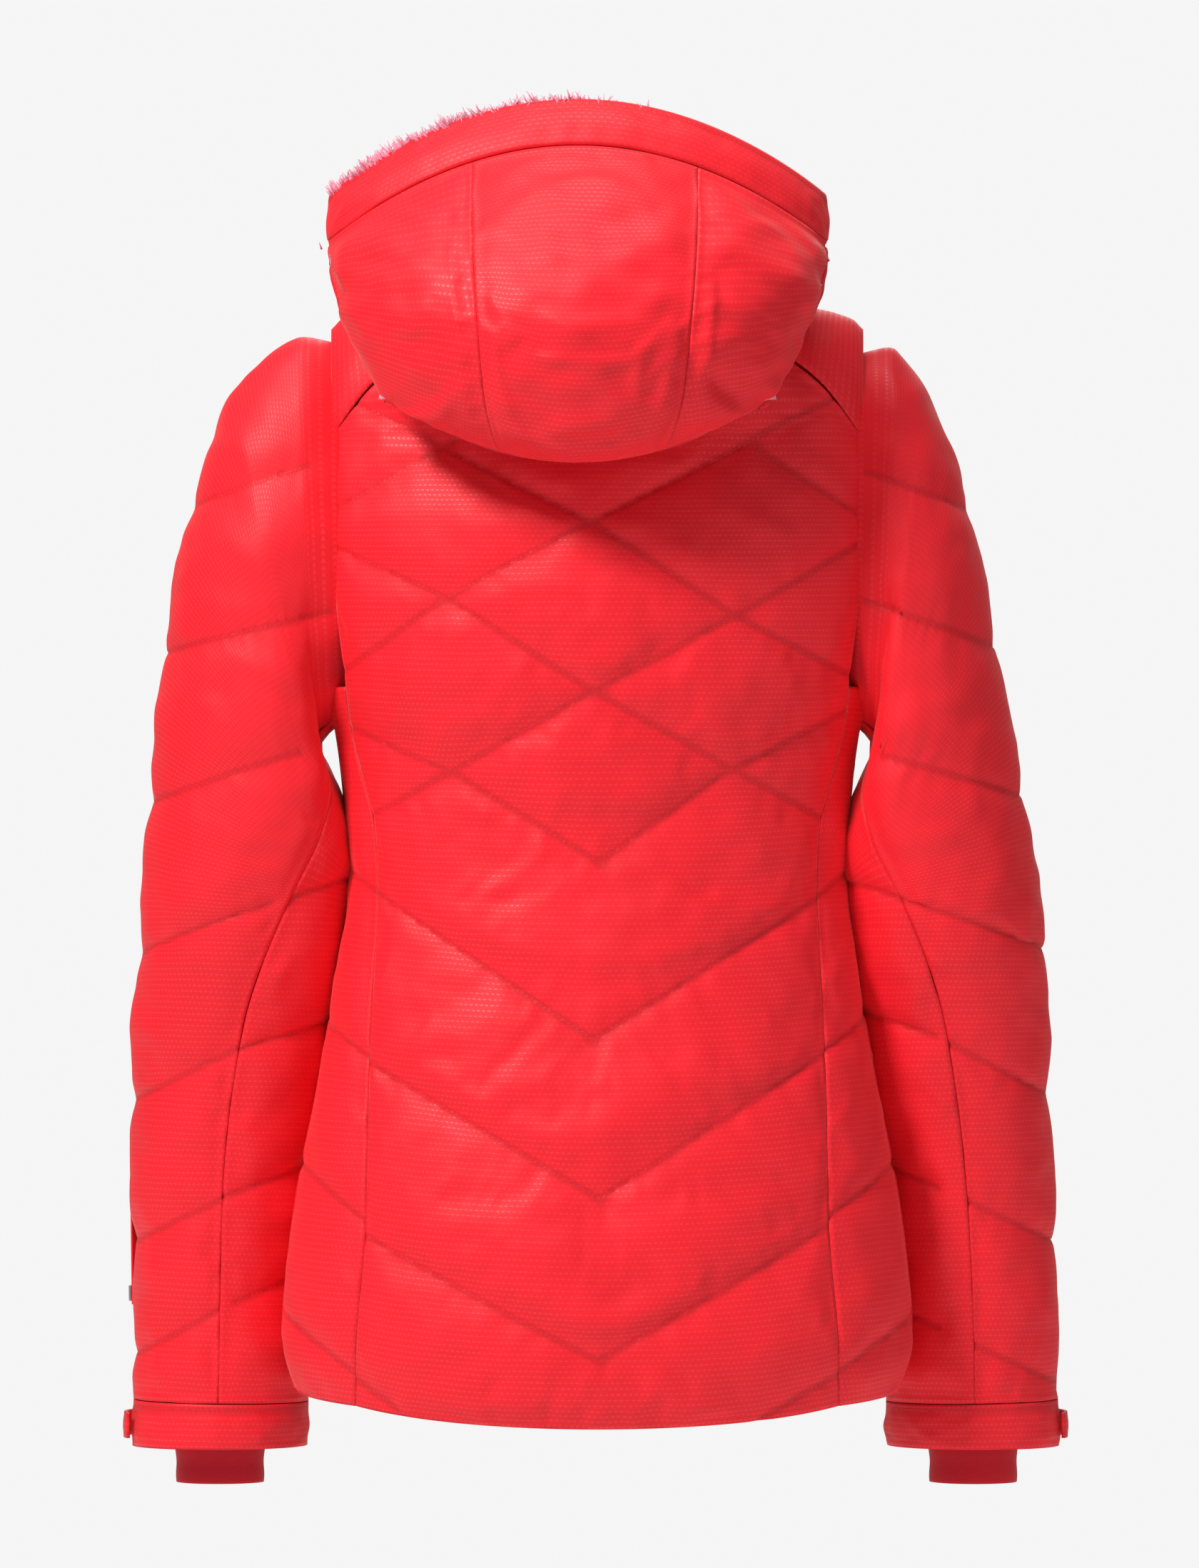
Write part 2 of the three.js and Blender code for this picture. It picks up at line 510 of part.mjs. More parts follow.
// Hand pockets: a zip on each front and the bag behind it, between the padding and the lining.
const POCKET = { topX: 96, topZ: -405, bottomX: 120, bottomZ: -553, lift: 3.2 };
const onFront = (x, z) => bodyAt(2 - turnAtX(Math.abs(x), z), z, 0).multiply(point(Math.sign(x), 1, 1));
function smallZip(name, top, bottom, outward) {
  const place = zipPlace(top, bottom, outward);
  const length = top.distanceTo(bottom);
  const section = [[-9, -1], [9, -1], [9, 0], [1.8, 0], [1.8, 1.4], [-1.8, 1.4], [-1.8, 0], [-9, 0]];
  placed(`${name}_zip`, bar(section, -length, 0), TAPE_RED(), place);
  return { place, length };
}
for (const [word, side] of [['left', -1], ['right', 1]]) {
  const top = onFront(side * POCKET.topX, POCKET.topZ);
  const bottom = onFront(side * POCKET.bottomX, POCKET.bottomZ);
  const middle = top.clone().add(bottom).multiplyScalar(0.5);
  const outward = middle.clone().sub(point(0, MID_Y, middle.z)).setZ(0);
  outward.set(outward.x / halfWidth(middle.z) ** 2, outward.y / frontDepth(middle.z) ** 2, 0);
  outward.normalize();
  top.addScaledVector(outward, POCKET.lift);
  bottom.addScaledVector(outward, POCKET.lift);
  const { place } = smallZip(`pocket_${word}`, top, bottom, outward);
  const slider = sliderBody(3.8, 0.6, 10).translate(0, 1.8, -1);
  placed(`pocket_slider_${word}`, slider, PULL_GREY(), place);
  placed(`pocket_pull_${word}`, pullPlate(6, 24, 1.4).translate(0, 4.2, -4), PULL_GREY(), place);
  const bag = (u, v, depth) => frontAt(side, lerp(1 / 3, 2 / 3, u), rowOf(lerp(1, 7, v) / 16), depth);
  panel(`pocket_bag_${word}`, LINING_RED(), [2, 6], bag, [10.2, 11.2]);
}

// The ski-pass pocket on the left forearm, just in front of the outer edge.
const PASS = { turn: -0.045, top: 9.9, bottom: 11.0 };
const leftSleeve = sleeveOf('left');
const passTop = leftSleeve.at(PASS.turn, PASS.top, -2.4);
const passBottom = leftSleeve.at(PASS.turn, PASS.bottom, -2.4);
const passOut = leftSleeve.at(PASS.turn, 10.45, -10).sub(leftSleeve.at(PASS.turn, 10.45, 0));
const pass = smallZip('pass_pocket', passTop, passBottom, passOut);
const passSlider = sliderBody(3.8, 0.6, 10).translate(0, 1.8, 11 - pass.length);
placed('pass_pocket_slider', passSlider, PULL_GREY(), pass.place);

export default jacket;
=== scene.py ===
# %% [markdown]
# # A quilted ski jacket
# The jacket hangs closed, as if worn, and is seen from behind. Every piece of cloth is cut as a
# flat grid, laid on a surface that follows the wearer's body, sewn down along its quilt lines
# and then puffed up by a cloth simulation, which is how the real one gets its shape.

import math
import random

import bmesh
import bpy
from mathutils import Matrix, Vector, noise
from mathutils.kdtree import KDTree
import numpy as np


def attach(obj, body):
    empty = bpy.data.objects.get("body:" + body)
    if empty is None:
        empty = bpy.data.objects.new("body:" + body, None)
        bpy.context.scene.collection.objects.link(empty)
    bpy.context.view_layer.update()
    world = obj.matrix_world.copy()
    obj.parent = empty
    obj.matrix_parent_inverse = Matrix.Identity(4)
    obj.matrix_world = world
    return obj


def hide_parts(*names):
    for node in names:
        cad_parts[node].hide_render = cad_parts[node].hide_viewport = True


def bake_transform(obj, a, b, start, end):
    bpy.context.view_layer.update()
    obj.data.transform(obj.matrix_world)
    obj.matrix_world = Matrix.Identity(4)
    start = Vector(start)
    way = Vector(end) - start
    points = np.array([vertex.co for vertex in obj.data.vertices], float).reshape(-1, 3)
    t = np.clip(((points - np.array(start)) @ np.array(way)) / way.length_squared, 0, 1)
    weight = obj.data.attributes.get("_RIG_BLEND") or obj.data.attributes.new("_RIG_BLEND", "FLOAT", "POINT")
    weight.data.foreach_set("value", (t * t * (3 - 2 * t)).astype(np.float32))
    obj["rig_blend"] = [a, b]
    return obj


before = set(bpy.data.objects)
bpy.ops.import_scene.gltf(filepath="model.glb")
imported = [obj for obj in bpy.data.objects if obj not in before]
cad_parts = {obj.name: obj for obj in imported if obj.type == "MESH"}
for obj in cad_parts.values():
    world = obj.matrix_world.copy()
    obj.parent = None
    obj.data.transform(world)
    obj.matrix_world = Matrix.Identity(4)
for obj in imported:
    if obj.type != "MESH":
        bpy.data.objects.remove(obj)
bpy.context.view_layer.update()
MM = 0.001

# %% [markdown]
# ## Camera, floor and light
# A long lens far away keeps the outline nearly square-on. The floor is a plain pale disc with
# plain pale air round it and no wall, so that nothing hides the jacket from any side. Big soft
# lamps keep the shadows in the quilting soft but readable.

# %% Camera
scene = bpy.context.scene
VIEW_CENTER = (1.4 * MM, -274 * MM)
VIEW_HEIGHT = 0.964
CAMERA_DISTANCE = 6.0
camera = bpy.data.objects.new("camera", bpy.data.cameras.new("camera"))
camera.location = (VIEW_CENTER[0], -CAMERA_DISTANCE, VIEW_CENTER[1])
camera.rotation_euler = (math.radians(90), 0, 0)
camera.data.sensor_fit = "VERTICAL"
camera.data.sensor_height = 24
camera.data.lens = 24 * CAMERA_DISTANCE / VIEW_HEIGHT
camera.data.clip_end = 40
scene.collection.objects.link(camera)
scene.camera = camera
scene.view_settings.view_transform = "Standard"
print("lens", round(camera.data.lens, 1), "mm")

# %% A round pale floor
FLOOR_Z, FLOOR_RADIUS = -0.95, 2.2
floor_mesh = bmesh.new()
bmesh.ops.create_circle(floor_mesh, cap_ends=True, segments=96, radius=FLOOR_RADIUS)
bmesh.ops.translate(floor_mesh, verts=floor_mesh.verts, vec=(0, 0, FLOOR_Z))
bmesh.ops.recalc_face_normals(floor_mesh, faces=floor_mesh.faces)
studio_floor = bpy.data.objects.new("studio_floor", bpy.data.meshes.new("studio_floor"))
floor_mesh.to_mesh(studio_floor.data)
floor_mesh.free()
scene.collection.objects.link(studio_floor)
paper = bpy.data.materials.new("pale_paper")
paper.use_nodes = True
matt = paper.node_tree.nodes["Principled BSDF"].inputs
matt["Base Color"].default_value, matt["Roughness"].default_value = (0.86, 0.86, 0.86, 1), 0.9
studio_floor.data.materials.append(paper)

# %% Soft lamps
def soft_lamp(name, place, target, size, watts):
    lamp = bpy.data.objects.new(name, bpy.data.lights.new(name, "AREA"))
    lamp.data.size = size
    lamp.data.energy = watts
    lamp.location = place
    lamp.visible_camera = False
    aim = Vector(target) - Vector(place)
    lamp.rotation_euler = aim.to_track_quat("-Z", "Y").to_euler()
    scene.collection.objects.link(lamp)


for lamp_settings in (
        ("key", (-1.8, -2.1, 2.2), (0, 0, -0.25), 0.7, 136),
        ("fill", (2.6, -2.4, 0.2), (0, 0, -0.3), 1.8, 13),
        ("overhead", (0, -0.2, 2.6), (0, 0, 0), 1.2, 36),
        ("front", (0.4, 3.0, 1.4), (0, 0.1, -0.3), 1.6, 30)):
    soft_lamp(*lamp_settings)

# %% Plain air, which lights the jacket less than it shows behind it
AIR_LIGHT, AIR_SEEN = 0.19, 0.915
world = bpy.data.worlds.new("studio_air")
world.use_nodes = True
air = world.node_tree
either = air.nodes.new("ShaderNodeMixShader")
air.links.new(air.nodes.new("ShaderNodeLightPath").outputs["Is Camera Ray"], either.inputs[0])
for socket, node, strength in ((1, air.nodes["Background"], AIR_LIGHT),
                               (2, air.nodes.new("ShaderNodeBackground"), AIR_SEEN)):
    node.inputs["Color"].default_value = (1, 1, 1, 1)
    node.inputs["Strength"].default_value = strength
    air.links.new(node.outputs[0], either.inputs[socket])
air.links.new(either.outputs[0], air.nodes["World Output"].inputs["Surface"])
scene.world = world

# %% [markdown]
# ## The jacket's surface
# Smooth curves through a few stations give the width and depth of the body, the sleeves and the
# hood at each height. Millimetres are used here, in the frame's own axes: +X is the wearer's
# right, +Y the wearer's front and +Z up. Every panel lies on one of these surfaces.

# %% Curves through stations
def lerp(a, b, t):
    return a + (b - a) * t


def clamp(x, low, high):
    return min(max(x, low), high)


def smoothstep(x, low, high):
    t = clamp((x - low) / (high - low), 0, 1)
    return t * t * (3 - 2 * t)


def profile(stations):
    """A smooth curve through (position, value) stations in rising order, read by position."""
    last = len(stations) - 1

    def slope(i):
        (x0, y0), (x1, y1) = stations[max(i - 1, 0)], stations[min(i + 1, last)]
        return (y1 - y0) / (x1 - x0)

    def read(at):
        x = clamp(at, stations[0][0], stations[last][0])
        i = 0
        while i < last - 1 and x > stations[i + 1][0]:
            i += 1
        (x0, y0), (x1, y1) = stations[i], stations[i + 1]
        span = x1 - x0
        t = (x - x0) / span
        bend = t * t * (3 - 2 * t)
        return (lerp(y0, y1, bend) + t * (1 - t) ** 2 * span * slope(i)
                + t * t * (t - 1) * span * slope(i + 1))

    return read


# %% The body
MID_Y, YOKE_Z, ARMPIT_Z, HEM_BACK_Z, HEM_SIDE_Z = 56, -60, -252, -669, -651
SIDE_TOP_Z = -216  # the side panel runs on a little way under the sleeve
FRONT_Y, FRONT_SLOPE, ZIP_SLOT, SEW, SIDE_SEW = 136, 0.0675, 6.5, 0.35, 0.001
NECK_Y, NECK_HALF_WIDTH, NECK_HALF_DEPTH = 62, 75, 69.5
half_width = profile([
    (-670, 187), (-621, 200), (-573, 198), (-515, 190), (-466, 180), (-384, 166), (-346, 161),
    (-297, 162), (-270, 164), (-243, 168), (-200, 180), (-120, 190), (-60, 188)])
back_depth = profile([
    (-670, 114), (-621, 126), (-560, 124), (-466, 115), (-384, 104), (-297, 98), (-200, 114),
    (-120, 116), (-60, 100)])
seam_x = profile([
    (-670, 152), (-611, 151), (-553, 146), (-441, 144), (-394, 142), (-339, 140), (-299, 142),
    (-270, 150), (-243, 157), (-205, 161), (-172, 165), (-128, 168), (-60, 168)])
ridge_z = profile([(0, 17), (75, 25), (130, 24), (160, 18), (170, 12)])
raglan_x = profile([(0, 168), (0.35, 141), (0.7, 100), (1, 62)])


def front_y(z):
    return FRONT_Y + (YOKE_Z - z) * FRONT_SLOPE


def front_depth(z):
    return front_y(z) - MID_Y


def hem_z(turn):
    return lerp(HEM_BACK_Z, HEM_SIDE_Z, min(abs(turn), 1) ** 2)


def body_at(turn, z):
    """turn is 0 at centre back, 1 at the side seam and 2 at centre front."""
    angle = turn * math.pi / 2
    reach = back_depth(z) if math.cos(angle) > 0 else front_depth(z)
    return Vector((half_width(z) * math.sin(angle), MID_Y - reach * math.cos(angle), z))


def turn_at_x(x, z):
    return math.asin(clamp(x / half_width(z), -1, 1)) * 2 / math.pi


def shoulder_at(x, lift):
    """lift is 0 at the yoke line on the back, 90 on the ridge and 180 at the front."""
    share = math.sqrt(max(0, 1 - (x / half_width(YOKE_Z)) ** 2))
    angle = math.radians(lift)
    reach = back_depth(YOKE_Z) if lift < 90 else front_depth(YOKE_Z)
    rise = (ridge_z(abs(x)) - YOKE_Z) * math.sin(angle)
    return Vector((x, MID_Y - reach * share * math.cos(angle), YOKE_Z + rise))


def neck_lift(across, front):
    """How far up the shoulders the neck seam lies."""
    x = min(abs(across), raglan_x(1))
    share = math.sqrt(max(0, 1 - (x / half_width(YOKE_Z)) ** 2))
    reach = NECK_HALF_DEPTH * math.sqrt(max(0, 1 - (x / NECK_HALF_WIDTH) ** 2))
    y = NECK_Y + reach - MID_Y if front else MID_Y - NECK_Y + reach
    depth = (front_depth(YOKE_Z) if front else back_depth(YOKE_Z)) * share
    lift = math.degrees(math.acos(clamp(y / depth, 0, 1)))
    return 180 - lift if front else lift


def row_of(v):
    return v / 0.75 if v < 0.75 else 1 + (v - 0.75) / 0.25


def back_at(u, v):
    across, row = lerp(-1, 1, u), row_of(v)
    if row <= 1:
        z = lerp(hem_z(across * 0.8), YOKE_Z, row)
        return body_at(across * turn_at_x(seam_x(z) - SEW, z), z)
    rise = min(row - 1, 1)
    yoke_turn = turn_at_x(seam_x(YOKE_Z) - SEW, YOKE_Z)
    share = body_at(across * yoke_turn, YOKE_Z).x / body_at(yoke_turn, YOKE_Z).x
    x = share * (raglan_x(rise) - SEW)
    return shoulder_at(x, rise * (neck_lift(x, False) - 3))


def front_body_at(side, u, z):
    inner = 2 - turn_at_x(ZIP_SLOT, z)
    above = smoothstep(z, ARMPIT_Z - 8, ARMPIT_Z + 60)
    outer = lerp(1 + SIDE_SEW, 2 - turn_at_x(seam_x(z) - SEW, z), above)
    return body_at(side * lerp(inner, outer, u), z)


def front_at(side, u, v):
    row = row_of(v)
    if row <= 1:
        return front_body_at(side, u, lerp(HEM_SIDE_Z, YOKE_Z, row))
    rise = min(row - 1, 1)
    share = (front_body_at(side, u, YOKE_Z).x * side - ZIP_SLOT) / (seam_x(YOKE_Z) - SEW - ZIP_SLOT)
    x = lerp(ZIP_SLOT, raglan_x(rise) - SEW, share)
    return shoulder_at(side * x, lerp(180, neck_lift(x, True) + 4, rise))


def side_panel_at(side, u, v):
    z = lerp(hem_z(lerp(0.8, 1, u)), SIDE_TOP_Z, v)
    return body_at(side * lerp(turn_at_x(seam_x(z) + SEW, z), 1 - SIDE_SEW, u), z)


def raglan_at(side, u, v):
    x = raglan_x(1 - v) + SEW + (1 - v) * 12 * math.sin(math.pi * u)
    rear = (1 - v) * neck_lift(x, False)
    fore = lerp(neck_lift(x, True), 180, v)
    return shoulder_at(side * min(x, 168.4), lerp(rear, fore, u))


# %% The collar and the ring round the neck that carries the hood
def collar_at(turn, height):
    angle = turn * (math.pi - math.asin(ZIP_SLOT / NECK_HALF_WIDTH))
    x = NECK_HALF_WIDTH * math.sin(angle)
    y = NECK_Y - NECK_HALF_DEPTH * math.cos(angle)
    front = max(0, -math.cos(angle)) ** 2
    foot = lerp(lerp(0, 24, math.sin(angle) ** 2), -29, front) + 4
    return Vector((x * lerp(1, 0.96, height), y, lerp(foot, lerp(60, 22, front), height)))


def neck_ring(turn, height, reach):
    angle = math.radians(turn)
    x = (NECK_HALF_WIDTH + reach) * math.sin(angle)
    y = NECK_Y - (NECK_HALF_DEPTH + reach) * math.cos(angle)
    depth = back_depth(YOKE_Z) if y < MID_Y else front_depth(YOKE_Z)
    share = math.sqrt(1 - (x / half_width(YOKE_Z)) ** 2)
    rise = math.sqrt(max(0, 1 - ((y - MID_Y) / (depth * share)) ** 2))
    return Vector((x, y, YOKE_Z + (ridge_z(abs(x)) - YOKE_Z) * rise + height))


# %% The sleeves, ring by ring from the armhole to the cuff
SLEEVE_OUTER = {
    "left": [(172, 8), (192, -1), (213, -18), (230, -38), (243, -72), (255, -110), (264, -152),
             (273, -225), (283, -352), (289, -424), (291, -510), (290, -600), (292, -689)],
    "right": [(172, 2), (189, -9), (202, -26), (212, -46), (223, -72), (234, -108), (243, -155),
              (255, -225), (276, -352), (281, -424), (284, -510), (288, -600), (290, -689)]}
SLEEVE_INNER = [(172, -240), (169, -247), (165, -254), (162, -262), (158, -273), (154, -287),
                (151, -304), (149, -326), (151, -358), (158, -430), (171, -514), (179, -604),
                (182, -689)]
SLEEVE_MIDDLE = [56, 56, 56, 56, 57, 58, 60, 65, 78, 99, 116, 126, 130]
SLEEVE_HALF = [60, 62, 64, 66, 67, 67, 67, 66, 64, 60.5, 57, 55, 53]
CUFF_RING, LAST_RING, FRONT_SEAM_TURN, SEAM_TURN = 11.67, 12, -0.27, 0.0012
back_seam_turn = profile([(0, 0.46), (4, 0.43), (7, 0.36), (9, 0.26), (12, 0.25)])


def per_ring(values):
    return profile(list(enumerate(values)))


def sleeve_of(word):
    outer_x, outer_z = (per_ring([p[i] for p in SLEEVE_OUTER[word]]) for i in (0, 1))
    inner_x, inner_z = (per_ring([p[i] for p in SLEEVE_INNER]) for i in (0, 1))
    middle, half = per_ring(SLEEVE_MIDDLE), per_ring(SLEEVE_HALF)
    side = -1 if word == "left" else 1

    def at(turn, ring, depth=0):
        """turn is 0 on the outer edge, 0.25 at the back and 0.5 next to the body."""
        angle = turn * 2 * math.pi
        inner = Vector((side * inner_x(ring), middle(ring), inner_z(ring)))
        out = Vector((side * outer_x(ring), middle(ring), outer_z(ring))) - inner
        share = (1 - 2 * depth / out.length) * math.cos(angle)
        p = inner + out * (1 + share) / 2
        p.y -= (half(ring) - depth) * math.sin(angle)
        return p

    return at


sleeves = {word: sleeve_of(word) for word in ("left", "right")}

# %% The hood, row by row from the neck seam (0) round the bottom fold (2) to the brim's edge (7)
HOOD_X, HOOD_END_TURN, HOOD_END_Y, HOOD_SEAMS, BRIM_SEAM = -12, 120, 44, (-24.5, 28.3), 6
hood_back_z = per_ring([-14, -56, -84, -56, 0, 60, 118, 147])
hood_back_y = per_ring([-38, -62, -94, -132, -150, -126, -66, -42])
hood_side_z = per_ring([34, -6, -46, -14, 22, 44, 60, 89])
hood_side_y = per_ring([10, -38, -60, -46, -30, -12, 0, 8])
hood_half = per_ring([104, 108, 115, 137, 149, 156, 158, 157])
hood_end_z = profile([(0, 42), (2, 44), (4, 54), (6, 62), (7, 84)])


def hood_at(turn, row):
    """turn is in degrees: 0 at centre back, 90 at the wearer's right."""
    angle = math.radians(turn)
    x = HOOD_X + hood_half(row) * math.sin(angle)
    ahead = math.cos(angle) / math.cos(math.radians(HOOD_END_TURN))
    side_y, side_z = hood_side_y(row), hood_side_z(row)
    if ahead <= 0:
        y = lerp(side_y, hood_back_y(row), math.cos(angle))
        return Vector((x, y, lerp(hood_back_z(row), side_z, math.sin(angle) ** 2)))
    end_z = hood_end_z(row)
    return Vector((x, lerp(side_y, HOOD_END_Y, ahead), lerp(side_z, end_z, math.sqrt(ahead))))


print("hem is", round(2 * half_width(-621)), "mm wide, sleeve wrist",
      [round(v) for v in sleeves["left"](0, LAST_RING)])

# %% [markdown]
# ## Cloth finishes
# The shell is a dobby weave: a plain ground with small raised wedges that catch the light, in a
# grid a few millimetres wide. One node group draws it from the cloth's own UV map, which is in
# metres, so the weave keeps its real size and bends with the cloth. A second group draws the
# thread along the quilt lines and a painted shade beside them, from two numbers that each vertex
# carries: how far it lies from the nearest line, and how far along that line.

# %% Small helpers for node trees
class Nodes:
    """Adds nodes to a tree and wires them, so that a finish reads as a formula."""

    def __init__(self, tree):
        self.tree = tree

    def add(self, kind, inputs=(), **settings):
        node = self.tree.nodes.new(kind)
        for key, value in settings.items():
            setattr(node, key, value)
        for key, value in dict(inputs).items():
            if isinstance(value, bpy.types.NodeSocket):
                self.tree.links.new(value, node.inputs[key])
            else:
                node.inputs[key].default_value = value
        return node

    def math(self, operation, a, b=0.0):
        return self.add("ShaderNodeMath", {0: a, 1: b}, operation=operation).outputs[0]

    def noise(self, place, scale, detail):
        inputs = {"Vector": place, "Scale": scale, "Detail": detail}
        return self.add("ShaderNodeTexNoise", inputs).outputs["Fac"]

    def use(self, tree, **inputs):
        """Places a node group, with each input linked where it is a socket."""
        node = self.tree.nodes.new("ShaderNodeGroup")
        node.node_tree = tree
        for key, value in inputs.items():
            self.tree.links.new(value, node.inputs[key])
        return node

    def ramp(self, value, low, high):
        """0 below low and 1 above high, or the other way round where low is the larger."""
        node = self.add("ShaderNodeMapRange", {"Value": value, "From Min": low, "From Max": high},
                        interpolation_type="SMOOTHSTEP")
        return node.outputs["Result"]

    def mix(self, share, a, b):
        node = self.add("ShaderNodeMix", data_type="RGBA")
        for key, value in ((0, share), (6, a), (7, b)):
            if isinstance(value, bpy.types.NodeSocket):
                self.tree.links.new(value, node.inputs[key])
            else:
                node.inputs[key].default_value = value
        return node.outputs[2]


def group(name, inputs, outputs):
    """A new node group with named inputs and outputs."""
    tree = bpy.data.node_groups.new(name, "ShaderNodeTree")
    for label, kind, value in inputs:
        socket = tree.interface.new_socket(label, in_out="INPUT", socket_type=kind)
        if value is not None:
            socket.default_value = value
    for label, kind in outputs:
        tree.interface.new_socket(label, in_out="OUTPUT", socket_type=kind)
    n = Nodes(tree)
    return tree, n, n.add("NodeGroupInput").outputs, n.add("NodeGroupOutput")


# %% The weave
FLOAT, VECTOR = "NodeSocketFloat", "NodeSocketVector"
weave, n, given, out = group(
    "dobby_weave", [("Cloth", VECTOR, None), ("Pitch Across", FLOAT, 0.0033),
                    ("Pitch Up", FLOAT, 0.0035)],
    [("Height", FLOAT), ("Wedge", FLOAT), ("Line", FLOAT)])
split = n.add("ShaderNodeSeparateXYZ", {0: given["Cloth"]}).outputs
up = n.math("DIVIDE", split["Y"], given["Pitch Up"])
shifted = n.math("MULTIPLY", n.math("FLOORED_MODULO", n.math("FLOOR", up), 2.0), 0.5)
across = n.math("ADD", n.math("DIVIDE", split["X"], given["Pitch Across"]), shifted)
cell_x, cell_y = n.math("FRACT", across), n.math("FRACT", up)
half_high = n.math("MULTIPLY", cell_x, 0.30)
from_middle = n.math("ABSOLUTE", n.math("SUBTRACT", cell_y, 0.5))
inside = n.ramp(n.math("SUBTRACT", half_high, from_middle), -0.04, 0.10)
wedge = n.math("MULTIPLY", inside, n.ramp(cell_x, 0.95, 0.8))
rib = n.math("SINE", n.math("MULTIPLY", split["Y"], 2 * math.pi / 0.0011))
rib_line = n.ramp(rib, -0.2, 0.95)
height = n.math("ADD", n.math("MULTIPLY", wedge, 1.0), n.math("MULTIPLY", rib, 0.07))
for label, value in (("Height", height), ("Wedge", wedge), ("Line", rib_line)):
    weave.links.new(value, out.inputs[label])

# %% The thread along the quilt lines, and the painted shade in the hollow beside them
stitches, n, given, out = group(
    "quilt_stitches", [("Distance", FLOAT, 1.0), ("Along", FLOAT, 0.0), ("Length", FLOAT, 0.0034)],
    [("Thread", FLOAT), ("Painted Shade", FLOAT)])
part_of = n.math("FRACT", n.math("DIVIDE", given["Along"], given["Length"]))
dash = n.math("MULTIPLY", n.ramp(part_of, 0.10, 0.2), n.ramp(part_of, 0.78, 0.68))
near = n.ramp(given["Distance"], 0.0008, 0.0004)
stitches.links.new(n.math("MULTIPLY", dash, near), out.inputs["Thread"])
# The second output is painted shade: it darkens the cloth within about 4 mm of a quilt line, where the
# crease lies in shadow.
stitches.links.new(n.ramp(given["Distance"], 0.0042, 0.0), out.inputs["Painted Shade"])

# %% [markdown]
# The weave shows as three things: bump, a painted highlight on each wedge (a paler red for its
# glint), and fine darker lines between the ribs. Large soft noise keeps the red from being one
# flat colour.

# %% Shell cloth, and the other cloths
WEAVE_DEPTH, THREAD_DEPTH, CRUMPLE_DEPTH = 0.00012, 0.0004, 0.0005  # metres


def new_finish(name):
    finish = bpy.data.materials.new(name)
    finish.use_nodes = True
    return finish, Nodes(finish.node_tree), finish.node_tree.nodes["Principled BSDF"].inputs


def opaque(colour, share=1.0, add=0.0):
    return tuple(min(1, c * share + add) for c in colour) + (1,)


# The second colour serves as painted shade in the seam hollows and as the colour of the weave's fine lines.
def cloth_finish(name, lit, shade_and_line_colour, rough=0.60, sheen=0.16, weave_bump=0.35,
                 pitch=(0.0033, 0.0035), glint=0.16, sewn=True):
    finish, n, shader = new_finish(name)
    cloth = n.add("ShaderNodeUVMap", uv_map="Cloth").outputs[0]
    weave_node = n.use(weave, Cloth=cloth)
    for label, size in zip(("Pitch Across", "Pitch Up"), pitch):
        weave_node.inputs[label].default_value = size
    place = n.add("ShaderNodeTexCoord").outputs["Object"]
    mottle = n.noise(place, 22.0, 4.0)
    colour = n.mix(n.ramp(mottle, 0.3, 0.7), opaque(lit, 0.93), opaque(lit))
    line = n.math("MULTIPLY", weave_node.outputs["Line"], 0.05)
    colour = n.mix(line, colour, opaque(shade_and_line_colour))
    # Painted highlight: each wedge's glint is painted into the colour as a paler red, mixed in by up to 1.5
    # times glint.
    painted_glint = opaque(lit, add=0.07)
    colour = n.mix(n.math("MULTIPLY", weave_node.outputs["Wedge"], glint * 1.5), colour, painted_glint)
    height = n.math("MULTIPLY", weave_node.outputs["Height"], WEAVE_DEPTH)
    if sewn:
        distance, along = (n.add("ShaderNodeAttribute", attribute_name=a).outputs["Fac"]
                           for a in ("stitch", "along"))
        sewing = n.use(stitches, Distance=distance, Along=along).outputs
        # Painted shade along the quilt lines: the colour is mixed up to 42 % towards the darker red.
        colour = n.mix(n.math("MULTIPLY", sewing["Painted Shade"], 0.42), colour, opaque(shade_and_line_colour))
        colour = n.mix(n.math("MULTIPLY", sewing["Thread"], 0.35), colour, opaque(lit))
        height = n.math("ADD", height, n.math("MULTIPLY", sewing["Thread"], THREAD_DEPTH))
    crumple = n.noise(place, 120.0, 3.0)
    height = n.math("ADD", height, n.math("MULTIPLY", crumple, CRUMPLE_DEPTH))
    bump = n.add("ShaderNodeBump", {"Strength": weave_bump, "Distance": 1.0, "Height": height})
    glossy = n.math("SUBTRACT", rough, n.math("MULTIPLY", weave_node.outputs["Wedge"], glint))
    for label, value in (("Normal", bump.outputs[0]), ("Base Color", colour),
                         ("Roughness", glossy)):
        finish.node_tree.links.new(value, shader[label])
    for label, value in (("Sheen Weight", sheen), ("Sheen Roughness", 0.4),
                         ("Sheen Tint", (1.0, 0.55, 0.5, 1)), ("Specular IOR Level", 0.35)):
        shader[label].default_value = value
    return finish


# The darker red is painted shade in the seam hollows and the colour of the fine lines of the weave.
RED, RED_FOR_SHADE_AND_LINES = (0.90, 0.007, 0.019), (0.40, 0.001, 0.006)
shell_cloth = cloth_finish("red_dobby_shell", RED, RED_FOR_SHADE_AND_LINES)
lining_cloth = cloth_finish("dark_red_lining", (0.36, 0.012, 0.03), (0.14, 0.0, 0.004), rough=0.42,
                            sheen=0.1,
                            weave_bump=0.15, pitch=(0.0009, 0.0009), glint=0.05, sewn=False)
gaiter_cloth = cloth_finish("stretch_knit", (0.58, 0.004, 0.016), (0.26, 0.0, 0.005), rough=0.8,
                            sheen=0.35,
                            weave_bump=0.3, pitch=(0.0016, 0.0011), glint=0.04, sewn=False)
tape_cloth = cloth_finish("woven_tape_cloth", (0.40, 0.006, 0.02), (0.16, 0.0, 0.004), rough=0.7,
                          sheen=0.1,
                          weave_bump=0.4, pitch=(0.0012, 0.0012), glint=0.05, sewn=False)

